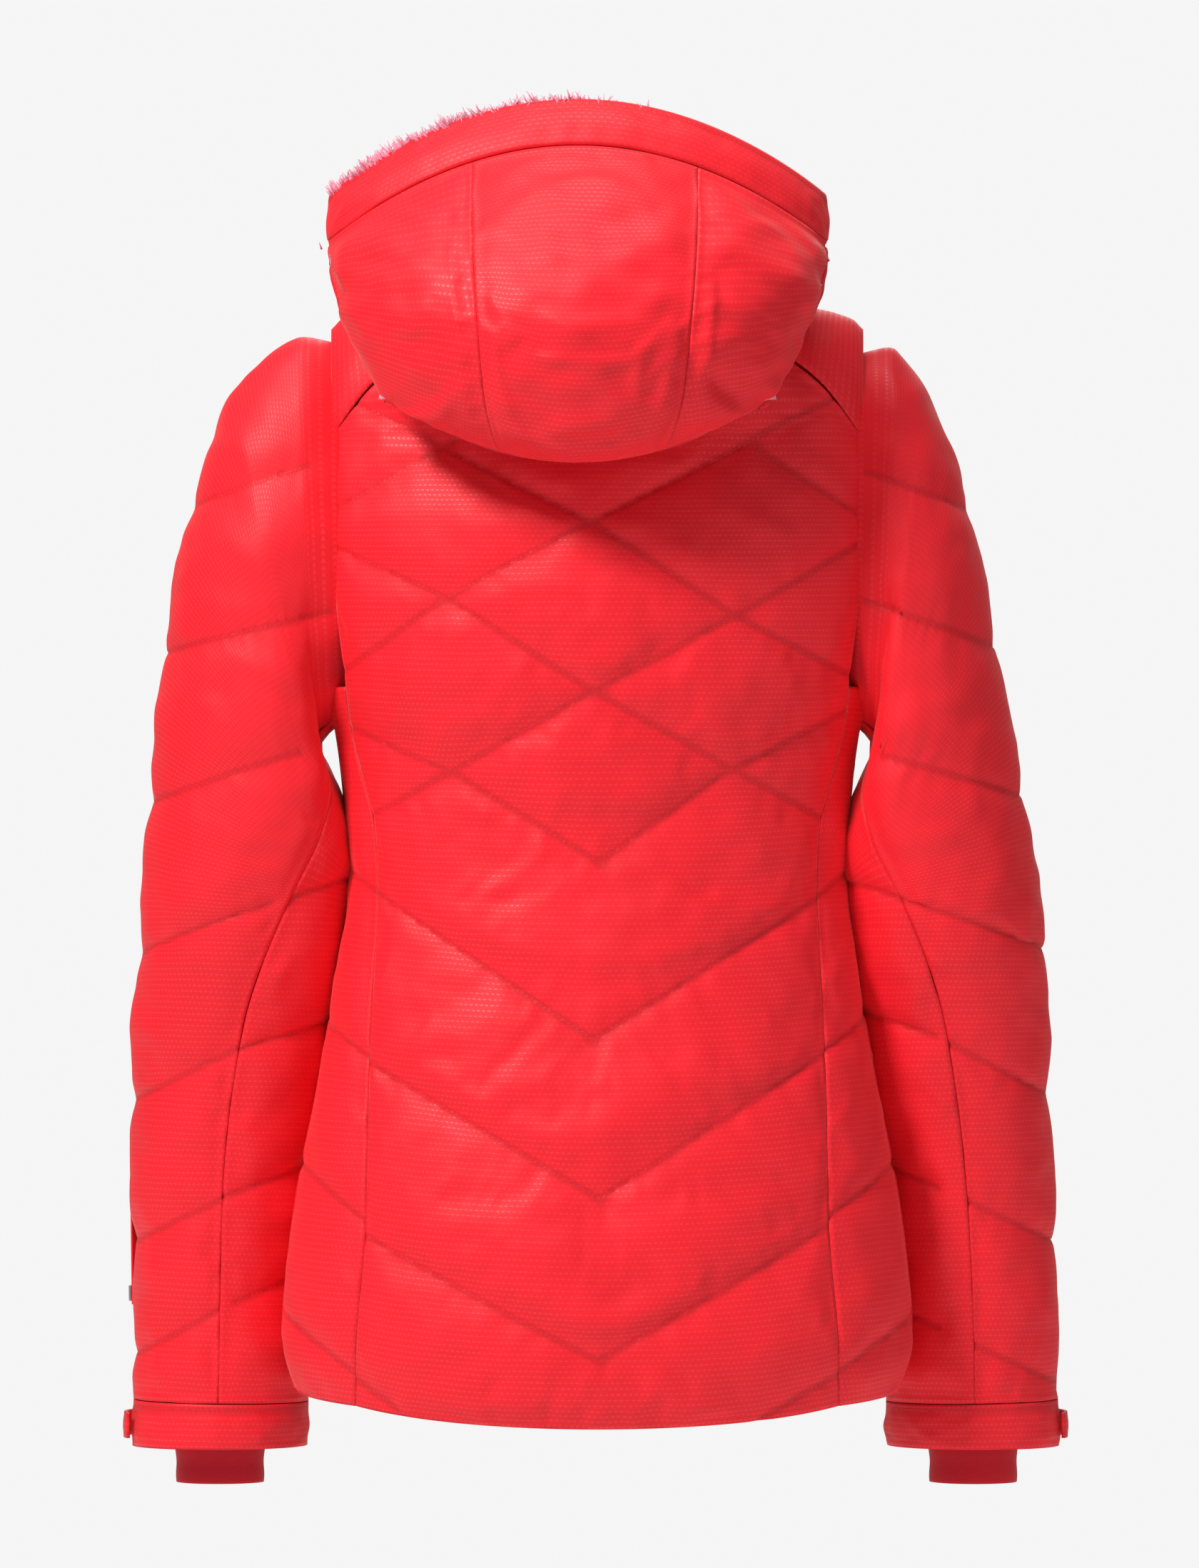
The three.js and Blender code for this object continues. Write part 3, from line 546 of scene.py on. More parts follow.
# %% Pile, coil and metal
def plain_finish(name, colour, rough, metal=0.0, grain=900.0, depth=0.00005, tint=0.85):
    finish, n, shader = new_finish(name)
    place = n.add("ShaderNodeTexCoord").outputs["Object"]
    fine, broad = n.noise(place, grain, 3.0), n.noise(place, grain / 14, 2.0)
    shade = n.mix(n.ramp(broad, 0.3, 0.7), opaque(colour, tint), opaque(colour))
    dull = n.math("ADD", n.math("MULTIPLY", fine, 0.25), rough - 0.12)
    height = n.math("MULTIPLY", fine, depth)
    bump = n.add("ShaderNodeBump", {"Strength": 0.5, "Distance": 1.0, "Height": height})
    for label, value in (("Base Color", shade), ("Roughness", dull),
                         ("Normal", bump.outputs[0])):
        finish.node_tree.links.new(value, shader[label])
    shader["Metallic"].default_value = metal
    return finish


pile_cloth = plain_finish("pink_pile", (0.92, 0.20, 0.32), 0.95, grain=420.0, depth=0.0012,
                          tint=0.6)
pile_cloth.node_tree.nodes["Principled BSDF"].inputs["Sheen Weight"].default_value = 0.8
coil_plastic = plain_finish("coil_plastic", (0.46, 0.01, 0.03), 0.4)
pull_metal = plain_finish("brushed_pull_metal", (0.46, 0.47, 0.49), 0.34, metal=1.0, grain=1500.0)
print(len(bpy.data.materials), "finishes,", len(bpy.data.node_groups), "node groups")

# %% [markdown]
# ## Cutting, sewing and puffing a panel
# A panel starts as a flat grid of small squares. It is laid on its surface, and each quilt line
# cuts it with an upright plane, so that the line is crisp. The line and the panel's edge are
# then sunk to the depth of the seam, and the cloth between them is blown up by a little
# pressure, cut slightly too large as quilted cloth is. The cells are too coarse for the short
# folds beside a stitch line, so seeded noise adds those after the simulation.

# %% Lay a grid on a surface
BODY_HEART = Vector((0, MID_Y, -300)) * MM


def laid_grid(across, up, at, heart, closed=False):
    """A grid of cells bent onto at(u, v), which is in millimetres, with its faces outward."""
    mesh = bmesh.new()
    bmesh.ops.create_grid(mesh, x_segments=across, y_segments=up, size=0.5)
    for label in ("u", "v", "stitch", "along"):
        mesh.verts.layers.float.new(label)
    mesh.edges.layers.float.new("crease_edge")
    u_layer, v_layer = (mesh.verts.layers.float[k] for k in ("u", "v"))
    uv = mesh.loops.layers.uv.new("Cloth")
    for vert in mesh.verts:
        vert[u_layer], vert[v_layer] = vert.co.x + 0.5, vert.co.y + 0.5
        vert.co = at(vert[u_layer], vert[v_layer]) * MM
    middle = [at(0.5, v / 12) * MM for v in range(13)]
    runs = [0.0]
    for a, b in zip(middle, middle[1:]):
        runs.append(runs[-1] + (b - a).length)
    widths = []
    for v in range(13):
        row = [at(u / 12, v / 12) * MM for u in range(13)]
        widths.append(sum((b - a).length for a, b in zip(row, row[1:])))
    high, wide = profile([(i / 12, r) for i, r in enumerate(runs)]), profile(
        [(i / 12, w) for i, w in enumerate(widths)])
    for face in mesh.faces:
        for corner in face.loops:
            u, v = corner.vert[u_layer], corner.vert[v_layer]
            corner[uv].uv = ((u - 0.5) * wide(v), high(v))
    if closed:
        bmesh.ops.remove_doubles(mesh, verts=mesh.verts, dist=1e-5)
    mesh.normal_update()
    outward = sum(f.normal.dot(f.calc_center_median() - (heart if isinstance(heart,
                                                                             Vector) else heart(f)))
                  for f in mesh.faces)
    if outward < 0:
        bmesh.ops.reverse_faces(mesh, faces=mesh.faces)
    mesh.normal_update()
    return mesh


# %% Cut the quilt lines
def sew_lines(mesh, lines):
    """Each line is two points (x, z) in millimetres and whether it lies at the rear or the front
    of a surface whose middle plane is at a given y. Returns the vertices and the samples on it."""
    samples = []
    sewn = set()
    for start, end, side_of, mid_y in lines:
        a, b = (Vector((p[0], 0, p[1])) * MM for p in (start, end))
        along, length = (b - a).normalized(), (b - a).length
        off = along.cross(Vector((0, 1, 0)))
        near = []
        for face in mesh.faces:
            middle = face.calc_center_median()
            flat = Vector((middle.x, 0, middle.z)) - a
            if abs(flat.dot(off)) > 0.012 or not -0.002 < flat.dot(along) < length + 0.002:
                continue
            if (middle.y - mid_y(middle.z) * MM) * (1 if side_of == "front" else -1) > 0:
                near.append(face)
        parts = list({*near, *(e for f in near for e in f.edges),
                      *(v for f in near for v in f.verts)})
        if not near:
            continue
        cut = bmesh.ops.bisect_plane(mesh, geom=parts, dist=0.0004, plane_co=a, plane_no=off)
        for part in cut["geom_cut"]:
            if isinstance(part, bmesh.types.BMVert):
                sewn.add(part)
                samples.append((part.co.copy(), (part.co - a).dot(along)))
            else:
                half = (part.verts[0].co + part.verts[1].co) / 2
                samples.append((half, (half - a).dot(along)))
    return sewn, samples


# %% Puff the cloth between the seams
PUFF_FRAMES = 14


def puffed(piece, pins, lofts, puckers, pressure, shrink, cap, sag):
    """Blows the piece up from where it lies. The rise of each vertex is held between shares of
    the wadding's loft there, its slide along the surface to half the cap, and the small folds
    are added last."""
    pinned = piece.vertex_groups.new(name="seams")
    pinned.add(pins, 1.0, "REPLACE")
    cloth = piece.modifiers.new("puff", "CLOTH")
    for key, value in {
            "quality": 4, "mass": 0.12, "tension_stiffness": 40, "compression_stiffness": 40,
            "shear_stiffness": 4, "bending_stiffness": 0.08, "air_damping": 3,
            "vertex_group_mass": "seams", "shrink_min": shrink, "use_pressure": True,
            "use_pressure_volume": True, "target_volume": 0,
            "uniform_pressure_force": pressure}.items():
        setattr(cloth.settings, key, value)
    cloth.settings.effector_weights.gravity = sag
    cloth.collision_settings.use_collision = False
    cloth.point_cache.frame_start, cloth.point_cache.frame_end = 1, PUFF_FRAMES
    for step in range(1, PUFF_FRAMES + 1):
        scene.frame_set(step)
    seen = piece.evaluated_get(bpy.context.evaluated_depsgraph_get())
    grown = [v.co.copy() for v in seen.to_mesh().vertices]
    seen.to_mesh_clear()
    piece.modifiers.remove(cloth)
    piece.vertex_groups.remove(pinned)
    furthest = 0.0
    normals = [v.normal.copy() for v in piece.data.vertices]
    for vert, new, out, loft, pucker in zip(piece.data.vertices, grown, normals, lofts, puckers):
        move = new - vert.co
        furthest = max(furthest, move.length)
        rise = move.dot(out)
        slide = move - out * rise
        if slide.length > cap * 0.5:
            slide *= cap * 0.5 / slide.length
        vert.co += slide + out * (clamp(rise, 0.6 * loft, 1.3 * loft) + pucker)
    return furthest


# %% From the laid grid to a finished padded panel
LOFT_REACH = 0.011  # how soon the padding rises beside a seam, in metres
SINK_REACH = 0.004  # how far the sinking of a seam pulls the cloth beside it down


def gathers(place, along, away):
    """Short folds that run out from a stitched line, and slack folds further in, as a share."""
    short = noise.noise(Vector((along * 105, place.z * 9, 7.7))) * math.exp(-away / 0.013)
    slack = noise.noise(Vector((place.x * 26 + 3, place.y * 26, place.z * 44)))
    slack += 0.6 * noise.noise(Vector((place.x * 52 + place.z * 20, place.y * 40, place.z * 80)))
    return smoothstep(away, 0, 0.004) * (2.6 * short + 2.4 * slack * (1 - math.exp(-away / 0.02)))


def finish_piece(piece, body, replaced=(), finish=None, bend=None):
    if bend:
        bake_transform(piece, body, bend[0], start=bend[1], end=bend[2])
    else:
        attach(piece, body)
    if replaced:
        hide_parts(*replaced)
    piece.data.materials.append(finish)
    return piece


def object_from(mesh, name):
    piece = bpy.data.objects.new(name, bpy.data.meshes.new(name))
    mesh.to_mesh(piece.data)
    mesh.free()
    scene.collection.objects.link(piece)
    return piece


def thickened(piece, thick, smooth=1):
    """Subdivides the piece, then gives it a wall and closes it."""
    if smooth:
        finer = piece.modifiers.new("finer", "SUBSURF")
        finer.levels = finer.render_levels = smooth
        finer.boundary_smooth = "PRESERVE_CORNERS"
    if thick:
        wall = piece.modifiers.new("wall", "SOLIDIFY")
        wall.thickness = thick * MM
        wall.offset = -1
    seen = piece.evaluated_get(bpy.context.evaluated_depsgraph_get())
    fine = bpy.data.meshes.new_from_object(seen)
    piece.modifiers.clear()
    piece.data = fine
    piece.data.polygons.foreach_set("use_smooth", [True] * len(piece.data.polygons))


def padded_panel(name, cells, at, heart, lines=(), rows=(), seam=6.0, stitch=7.0, loft=7.5,
                 cap=9.0, pressure=7.0, shrink=-0.04, sag=0.15, thick=2.5, closed=False,
                 slack=1.0):
    """A sewn and puffed panel. rows are stitched lines at those v. Depths are in millimetres
    below the outer surface."""
    mesh = laid_grid(*cells, at, heart, closed)
    v_layer = mesh.verts.layers.float["v"]
    sewn, samples = sew_lines(mesh, lines)
    mesh.normal_update()
    for vert in mesh.verts:
        if any(abs(vert[v_layer] - row) < 1e-4 for row in rows):
            sewn.add(vert)
            samples.append((vert.co.copy(), vert.co.x + vert.co.y))
    border = {v for e in mesh.edges if e.is_boundary for v in e.verts}
    tree = KDTree(len(samples) + 1)
    for i, (place, _) in enumerate(samples):
        tree.insert(place, i)
    tree.balance()
    edges = KDTree(len(border) + 1)
    for i, vert in enumerate(border):
        edges.insert(vert.co, i)
    edges.balance()
    stitch_layer, along_layer = mesh.verts.layers.float["stitch"], mesh.verts.layers.float["along"]
    moves, lofts, puckers = {}, [], []
    for vert in mesh.verts:
        to_line, to_edge = 1.0, 1.0
        if samples:
            _, i, to_line = tree.find(vert.co)
            vert[along_layer] = samples[i][1]
        vert[stitch_layer] = 0.0 if vert in sewn else max(to_line, 0.0002)
        if border:
            _, _, to_edge = edges.find(vert.co)
        base = loft
        for reach, depth in ((to_edge, seam), (to_line, stitch)):
            base = lerp(base, depth, max(0, 1 - reach / SINK_REACH))
        moves[vert] = -vert.normal * base * MM
        away = min(to_line, to_edge)
        lofts.append(loft * MM * (1 - math.exp(-away / LOFT_REACH)))
        puckers.append(slack * loft / 8 * MM * gathers(vert.co, vert[along_layer], away))
    for vert, move in moves.items():
        vert.co += move
    mesh.verts.index_update()
    pins = [v.index for v in mesh.verts if v in sewn or v in border]
    crease = mesh.edges.layers.float["crease_edge"]
    for edge in mesh.edges:
        if edge.verts[0] in sewn and edge.verts[1] in sewn:
            edge[crease] = 0.8
    piece = object_from(mesh, name)
    moved = 0
    moved = puffed(piece, pins, lofts, puckers, pressure, shrink, cap * MM, sag)
    thickened(piece, thick)
    print(name, len(piece.data.polygons), "faces, puffed", round(moved * 1000, 1), "mm")
    return piece

# %% [markdown]
# ## The back
# One wide panel between the two princess seams. Its quilting is a lattice of long slanting lines
# over the shoulder blades, which settles into plain chevrons towards the hem.

# %% Quilt lines of the back
C1, C2, C3, C4, C5, C6 = (-4, -113), (-2, -219), (1.5, -321.5), (-2, -429), (1.5, -526), (0.5, -626)
L1, R1, L2, R2 = (-94, -161), (87, -172), (-92, -268), (85, -266)
BACK_RUNS = [
    [(-170, -30), C1, R1, (162, -209)], [(-176, -124), L1, C2, R2, (146, -297)], [(-162, -239), L2,
                                                                                  C3],
    [(-148, -336), C4], [(-152, -440), C5], [(-154, -546), C6], [(-158, -636), (-126, -658)],
    [(172, -24), C1, L1, (-160, -205)], [(178, -119), R1, C2, L2, (-148, -296)], [(162, -229), R2,
                                                                                  C3],
    [(145, -341), C4], [(142, -440), C5], [(152, -541), C6], [(157, -634), (96, -667)],
    [(-174, -109), (-90, -63)], [(172, -112), (99, -66)]]


def body_middle(z):
    return MID_Y


def lines_of(runs, side_of, middle=body_middle):
    return [(a, b, side_of, middle) for run in runs for a, b in zip(run, run[1:])]


back = padded_panel("back_quilting", (78, 158), back_at, BODY_HEART, lines_of(BACK_RUNS, "rear"),
                    thick=3)
finish_piece(back, "jacket_body", ["back_panel", "back_padding"], shell_cloth)

# %% [markdown]
# ## Side panels, fronts and shoulders
# The chevrons run on round the sides and meet again at the front zip. The raglan shoulders are
# small panels between the neck seam and the armholes.

# %% Side panels
SIDE_RUNS = {
    -1: [[(-140, -341), (-168, -322)], [(-140, -444), (-188, -413)], [(-140, -546), (-205, -497)],
         [(-145, -642), (-210, -594)]],
    1: [[(132, -348), (165, -326)], [(130, -446), (185, -410)], [(138, -544), (205, -498)],
        [(146, -639), (210, -597)]]}
FRONT_RISE = 0.55
for word, side in (("left", -1), ("right", 1)):
    flank = padded_panel(f"side_quilting_{word}", (14, 80), lambda u, v: side_panel_at(side, u, v),
                         BODY_HEART,
                         lines_of(SIDE_RUNS[side], "rear"), thick=3)
    finish_piece(flank, "jacket_body", [f"side_panel_{word}"], shell_cloth)
    starts = [-96, -198, -302, -404, -508, -612]
    runs = [[(0, z), (side * 210, z + 210 * FRONT_RISE)] for z in starts]
    half = padded_panel(f"front_quilting_{word}", (52, 150), lambda u, v: front_at(side, u, v),
                        BODY_HEART,
                        lines_of(runs, "front"), thick=3, seam=5)
    finish_piece(half, "jacket_body",
                 [f"front_panel_{word}", f"front_padding_{word}"],
                 shell_cloth)
    shoulder = padded_panel(f"raglan_quilting_{word}", (44, 26), lambda u,
                            v: raglan_at(side, u, v), BODY_HEART,
                            thick=3, loft=6, cap=6)
    finish_piece(shoulder, "jacket_body", [f"raglan_{word}"], shell_cloth)

# %% [markdown]
# ## Sleeves
# Each sleeve has an outer and an under panel that meet at the back seam. A sleeve is one length
# of cloth from shoulder to cuff, so it blends from the body to the forearm across the elbow.

# %% Rings spaced by length, so that the cells stay square
def spaced(at, low, high, steps=60):
    """v from 0 to 1 turned into a ring, by the length along at(ring)."""
    rings = [lerp(low, high, i / steps) for i in range(steps + 1)]
    places = [at(r) for r in rings]
    runs = [0.0]
    for a, b in zip(places, places[1:]):
        runs.append(runs[-1] + (b - a).length)

    def read(v):
        want = clamp(v, 0, 1) * runs[-1]
        i = next((k for k in range(steps) if runs[k + 1] >= want), steps - 1)
        share = (want - runs[i]) / max(runs[i + 1] - runs[i], 1e-9)
        return lerp(rings[i], rings[i + 1], clamp(share, 0, 1))

    return read


sleeve_middle = profile([(-689, 130), (-600, 126), (-510, 116), (-424, 99), (-352, 78), (-225, 65),
                         (-152, 60),
                         (-60, 56)])
REAR_RUNS = {
    "left": [[(-262, -102), (-172, -76)], [(-279, -193), (-160, -169)],
             [(-288, -286), (-180, -255)],
             [(-295, -380), (-202, -350)], [(-300, -473), (-215, -437)], [(-301, -562),
                                                                          (-216, -526)],
             [(-299, -632), (-210, -591)]],
    "right": [[(160, -80), (240, -104)], [(157, -161), (256, -189)], [(171, -257), (270, -280)],
              [(185, -347), (282, -375)], [(195, -427), (289, -468)], [(197, -521), (294, -560)],
              [(197, -608), (292, -647)]]}
UNDER_RUNS = {
    "left": [[(-196, -262), (-150, -249)], [(-214, -354), (-148, -334)],
             [(-228, -442), (-150, -420)],
             [(-229, -531), (-160, -508)], [(-223, -597), (-170, -578)]],
    "right": [[(186, -262), (150, -252)], [(200, -351), (148, -336)], [(208, -432), (150, -415)],
              [(210, -526), (160, -508)], [(210, -613), (168, -598)]]}
ELBOW = {"start": -300 * MM, "end": -460 * MM}
TUCK_START, TUCK_DEPTH, TUCK_REACH, SLEEVE_EASE = 0.985, 6, 24, 5


def bend_of(word, side):
    return (f"{word}_forearm", (side * 0.22, 0.085, ELBOW["start"]),
            (side * 0.22, 0.085, ELBOW["end"]))


def sleeve_heart(side):
    def heart(face):
        z = face.calc_center_median().z
        return Vector((side * (205 if z > -0.2 else 225) * MM, sleeve_middle(z / MM) * MM,
                       min(z, -0.11)))

    return heart


for word, side in (("left", -1), ("right", 1)):
    sleeve = sleeves[word]
    outer_ring = spaced(lambda r: sleeve(0, r), 0.02, CUFF_RING - 0.004)
    inner_ring = spaced(lambda r: sleeve(0.5, r), 0.02, CUFF_RING - 0.004)

    def tucked(turn, ring, v):
        """The sleeve's head runs on a little way under the edge of the armhole."""
        under = clamp((v - TUCK_START) / (1 - TUCK_START), 0, 1)
        place = sleeve(turn, ring, (TUCK_DEPTH + SLEEVE_EASE) * under - SLEEVE_EASE)
        return place - Vector((side * TUCK_REACH * under, 0, 0))

    def outer_at(u, v):
        ring = outer_ring(1 - v)
        return tucked(lerp(FRONT_SEAM_TURN + SEAM_TURN, back_seam_turn(ring) - SEAM_TURN, u), ring,
                      v)

    def under_at(u, v):
        ring = inner_ring(1 - v)
        return tucked(lerp(back_seam_turn(ring) + SEAM_TURN, 1 + FRONT_SEAM_TURN - SEAM_TURN, u),
                      ring, v)

    rear = lines_of(REAR_RUNS[word], "rear", sleeve_middle)
    fore = [((a[0], a[1]), (b[0], b[1]), "front", m) for a, b, _, m in rear]
    outer = padded_panel(f"sleeve_outer_quilting_{word}", (54, 150), outer_at, sleeve_heart(side),
                         rear + fore,
                         thick=3, seam=5)
    finish_piece(outer, "jacket_body",
                 [f"sleeve_outer_upper_{word}", f"sleeve_outer_lower_{word}"],
                 shell_cloth, bend_of(word, side))
    under_runs = lines_of(UNDER_RUNS[word], "rear", sleeve_middle)
    under_runs += [(a, b, "front", m) for a, b, _, m in under_runs]
    under = padded_panel(f"sleeve_under_quilting_{word}", (30, 92), under_at, sleeve_heart(side),
                         under_runs,
                         thick=3, seam=5)
    finish_piece(under, "jacket_body",
                 [f"sleeve_under_upper_{word}", f"sleeve_under_lower_{word}"],
                 shell_cloth, bend_of(word, side))
    cuff = padded_panel(f"cuff_quilting_{word}", (76, 8),
                        lambda u, v: sleeve(u, lerp(LAST_RING, CUFF_RING + 0.004, v),
                                            -4), sleeve_heart(side),
                        rows=[0.875], seam=4, stitch=4, loft=5, cap=5, thick=3, closed=True)
    finish_piece(cuff, f"{word}_forearm", [f"cuff_band_{word}"], shell_cloth)

# %% [markdown]
# ## The hood
# A centre panel and two sides, with a brim band round the opening. It hangs back over its own
# fold, so its lower edge rests on the back. The inner part that drops from the neck seam to the
# fold is its own piece, because it has to stretch when the hood is lifted.

# %% Hood panels
HOOD_HEART = Vector((HOOD_X, -85, 20)) * MM
SEWN_DEG = 0.12
left_seam, right_seam = HOOD_SEAMS
hood_panels = [
    ("hood_center_quilting", "hood_center_panel", (32, 58),
     (left_seam + SEWN_DEG, right_seam - SEWN_DEG)),
    ("hood_side_quilting_left", "hood_side_left", (54, 58), (-HOOD_END_TURN, left_seam - SEWN_DEG)),
    ("hood_side_quilting_right", "hood_side_right", (54, 58),
     (right_seam + SEWN_DEG, HOOD_END_TURN))]
for name, node, cells, (start, end) in hood_panels:
    shape = padded_panel(name, cells, lambda u,
                         v: hood_at(lerp(start, end, u), lerp(2, BRIM_SEAM - 0.01, v)),
                         HOOD_HEART, seam=4.5, loft=5.5, cap=8, shrink=-0.06, pressure=3, sag=0.4,
                         thick=2.5,
                         slack=2.6)
    finish_piece(shape, "hood", [node], shell_cloth)
brim = padded_panel("hood_brim_quilting", (112, 8),
                    lambda u, v: hood_at(lerp(-HOOD_END_TURN, HOOD_END_TURN, u),
                                         lerp(BRIM_SEAM + 0.01, 7, v)),
                    HOOD_HEART, rows=[0.875], seam=4, stitch=3.5, loft=4.5, cap=6, pressure=8,
                    thick=3)
finish_piece(brim, "hood", ["hood_brim"], shell_cloth)

# %% [markdown]
# The inner part of the hood hangs from the band on the neck seam. It follows the body at its
# root and the hood at the fold. That holds while the hood hangs. When the hood is lifted, the
# piece stretches and turns too little, and the hood still comes away from the neck.

# %% The inner fall of the hood, the neck band and the cheeks
SLACK_SCALE = 26.0


def soft_sheet(name, cells, at, heart, depth, thick, ripple=1.2, closed=False, smooth=1):
    """A thin layer below a surface, with the slack ripples of unpadded cloth."""
    mesh = laid_grid(*cells, at, heart, closed)
    moves = {}
    for vert in mesh.verts:
        slack = noise.noise(vert.co * SLACK_SCALE) + 0.5 * noise.noise(vert.co * SLACK_SCALE * 2.3)
        moves[vert] = -vert.normal * (depth + ripple * slack) * MM
    for vert, move in moves.items():
        vert.co += move
    piece = object_from(mesh, name)
    thickened(piece, thick, smooth)
    return piece


fall = soft_sheet("hood_inner_fall", (90, 24),
                  lambda u, v: hood_at(lerp(-HOOD_END_TURN, HOOD_END_TURN, u),
                                       lerp(0.02, 2.0, v)), HOOD_HEART,
                  4.5, 2.0, ripple=1.0)
finish_piece(fall, "jacket_body", [], shell_cloth,
             ("hood", Vector((-12, -24, -32)) * MM, Vector((-12, -42, -56)) * MM))
NECK_HEART = Vector((0, NECK_Y, 0)) * MM
band = padded_panel("hood_neck_band_strip", (90, 5),
                    lambda u, v: neck_ring(lerp(-108, 108, u), lerp(3, 14, v),
                                           5), NECK_HEART, seam=1.0, stitch=1,
                    loft=1.0, cap=1.5, pressure=3, thick=2.2)
finish_piece(band, "jacket_body", ["hood_neck_band"], shell_cloth)
for word, side in (("left", -1), ("right", 1)):
    cheek = padded_panel(
        f"hood_cheek_quilting_{word}", (22, 12),
        lambda u, v: neck_ring(side * lerp(112, 168, u), lerp(lerp(8, 14, u), lerp(30, 46, u), v),
                               lerp(14, 7, u)),
        NECK_HEART, seam=2.0, loft=2.0, cap=3.0, pressure=6, thick=2.0)
    finish_piece(cheek, "jacket_body", [f"hood_cheek_{word}"], shell_cloth)

# %% [markdown]
# ## Pile lining of the hood
# The backing is a thin sheet, and the pile on it is a few thousand small tufts. Along the
# upper left of the brim the tufts stand past the edge and show from behind as a soft fringe.

# %% The pile's backing
pile = soft_sheet("hood_pile_backing", (90, 60),
                  lambda u, v: hood_at(lerp(-HOOD_END_TURN + 1, HOOD_END_TURN - 1, u),
                                       lerp(0.1, 6.93, v)),
                  HOOD_HEART, 8.6, 1.6, ripple=0.6, smooth=0)
finish_piece(pile, "hood", ["hood_pile_lining"], pile_cloth)

# %% The tufts
rng = random.Random(11)


def hood_inside(turn, row):
    """A place on the inner side of the hood and the direction into its hollow, in metres."""
    here = hood_at(turn, row) * MM
    along, up = hood_at(turn + 0.5, row) * MM - here, hood_at(turn, min(row + 0.05, 7)) * MM - here
    if row > 6.9:
        up = here - hood_at(turn, row - 0.05) * MM
    inward = along.cross(up).normalized()
    if inward.dot(HOOD_HEART - here) < 0:
        inward = -inward
    return here, inward, up.normalized()


def add_tuft(mesh, foot, way, length, thick):
    made = bmesh.ops.create_cone(mesh, segments=4, radius1=thick, radius2=thick * 0.25,
                                 depth=length, cap_ends=True, cap_tris=False)
    turn = way.to_track_quat("Z", "Y").to_matrix()
    lean = rng.uniform(-0.5, 0.5)
    for vert in made["verts"]:
        vert.co.z += length / 2
        vert.co += Vector((lean, 0, 0)) * (vert.co.z ** 2 / length)
        vert.co = foot + turn @ vert.co


tufts = bmesh.new()
for _ in range(2600):
    turn, row = rng.uniform(-103, 103), rng.uniform(3.3, 6.9)
    here, inward, up = hood_inside(turn, row)
    way = (inward + up * rng.uniform(-0.2,
                                     0.6) + Vector((rng.uniform(-0.5, 0.5), 0, 0))).normalized()
    add_tuft(tufts, here + inward * 8.2 * MM, way, rng.uniform(4, 8) * MM,
             rng.uniform(0.7, 1.3) * MM)
for _ in range(1500):
    turn = rng.triangular(-88, 18, -52)
    here, inward, up = hood_inside(turn, 7)
    foot = here + inward * rng.uniform(4.5, 8.5) * MM - up * rng.uniform(0, 5) * MM
    way = (up + inward * rng.uniform(-0.5,
                                     0.5) + Vector((rng.uniform(-0.7, 0.5), 0, 0))).normalized()
    tall = rng.uniform(4, 8.5) + 2.5 * noise.noise(Vector((turn * 0.12, 3.1, 0)))
    add_tuft(tufts, foot, way, tall * MM, rng.uniform(0.6, 1.15) * MM)
for face in tufts.faces:
    face.smooth = True
tuft_piece = object_from(tufts, "hood_pile_tufts")
finish_piece(tuft_piece, "hood", [], pile_cloth)
print("tufts", len(tuft_piece.data.polygons), "faces")

# %% [markdown]
# ## Linings, collar and hanger loop
# The linings are thin slack sheets under the padding. The collar stands inside the hood, and
# the ribbon loop that carries the jacket is sewn to it.

# %% Linings of the body and sleeves
lining = soft_sheet("back_lining_sheet", (48, 90), back_at, BODY_HEART, 13.2, 1.0)
finish_piece(lining, "jacket_body", ["back_lining"], lining_cloth)
for word, side in (("left", -1), ("right", 1)):
    half = soft_sheet(f"front_lining_sheet_{word}", (34, 90), lambda u,
                      v: front_at(side, lerp(0.02, 1, u), v),
                      BODY_HEART, 13.2, 1.0)
    finish_piece(half, "jacket_body",
                 [f"front_lining_{word}", f"pocket_bag_{word}"],
                 lining_cloth)
    flank = soft_sheet(f"side_lining_sheet_{word}", (10, 50), lambda u,
                       v: side_panel_at(side, lerp(0, 1, u), v),
                       BODY_HEART, 13.2, 1.0)
    finish_piece(flank, "jacket_body", [], lining_cloth)
    sleeve = sleeves[word]
    tube = soft_sheet(f"sleeve_lining_tube_{word}", (48, 100),
                      lambda u, v: sleeve(u,
                                          lerp(CUFF_RING + 0.2, 2.4,
                                               v)), sleeve_heart(side), 11.8, 1.0,
                      closed=True)
    finish_piece(tube, "jacket_body",
                 [f"sleeve_lining_upper_{word}", f"sleeve_lining_lower_{word}"],
                 lining_cloth, bend_of(word, side))

# %% The collar
collar = padded_panel("collar_quilting", (96, 14), lambda u, v: collar_at(lerp(-1, 1, u), v),
                      NECK_HEART,
                      rows=[13 / 14], seam=0.8, stitch=1.2, loft=0.9, cap=1.5, pressure=4,
                      thick=2.2)
finish_piece(collar, "jacket_body", ["collar_shell"], shell_cloth)
inner_collar = soft_sheet("collar_lining_sheet", (96, 14), lambda u,
                          v: collar_at(lerp(-0.95, 0.95, u), v),
                          NECK_HEART, 4.6, 1.2, ripple=0.3)
finish_piece(inner_collar, "jacket_body", ["collar_lining"], lining_cloth)

# %% The hanger loop: a flat ribbon bent into an arch
LOOP_Y, LOOP_HALF, LOOP_DROP, RIBBON, RIBBON_THICK = 3, 27, 22, 6, 1.4


def loop_at(u):
    t = u
    x = LOOP_HALF * (2 * t - 1)
    z = (1 - t) ** 2 * -LOOP_DROP + 2 * t * (1 - t) * (LOOP_DROP - RIBBON) + t * t * -LOOP_DROP
    return Vector((x, LOOP_Y, z))


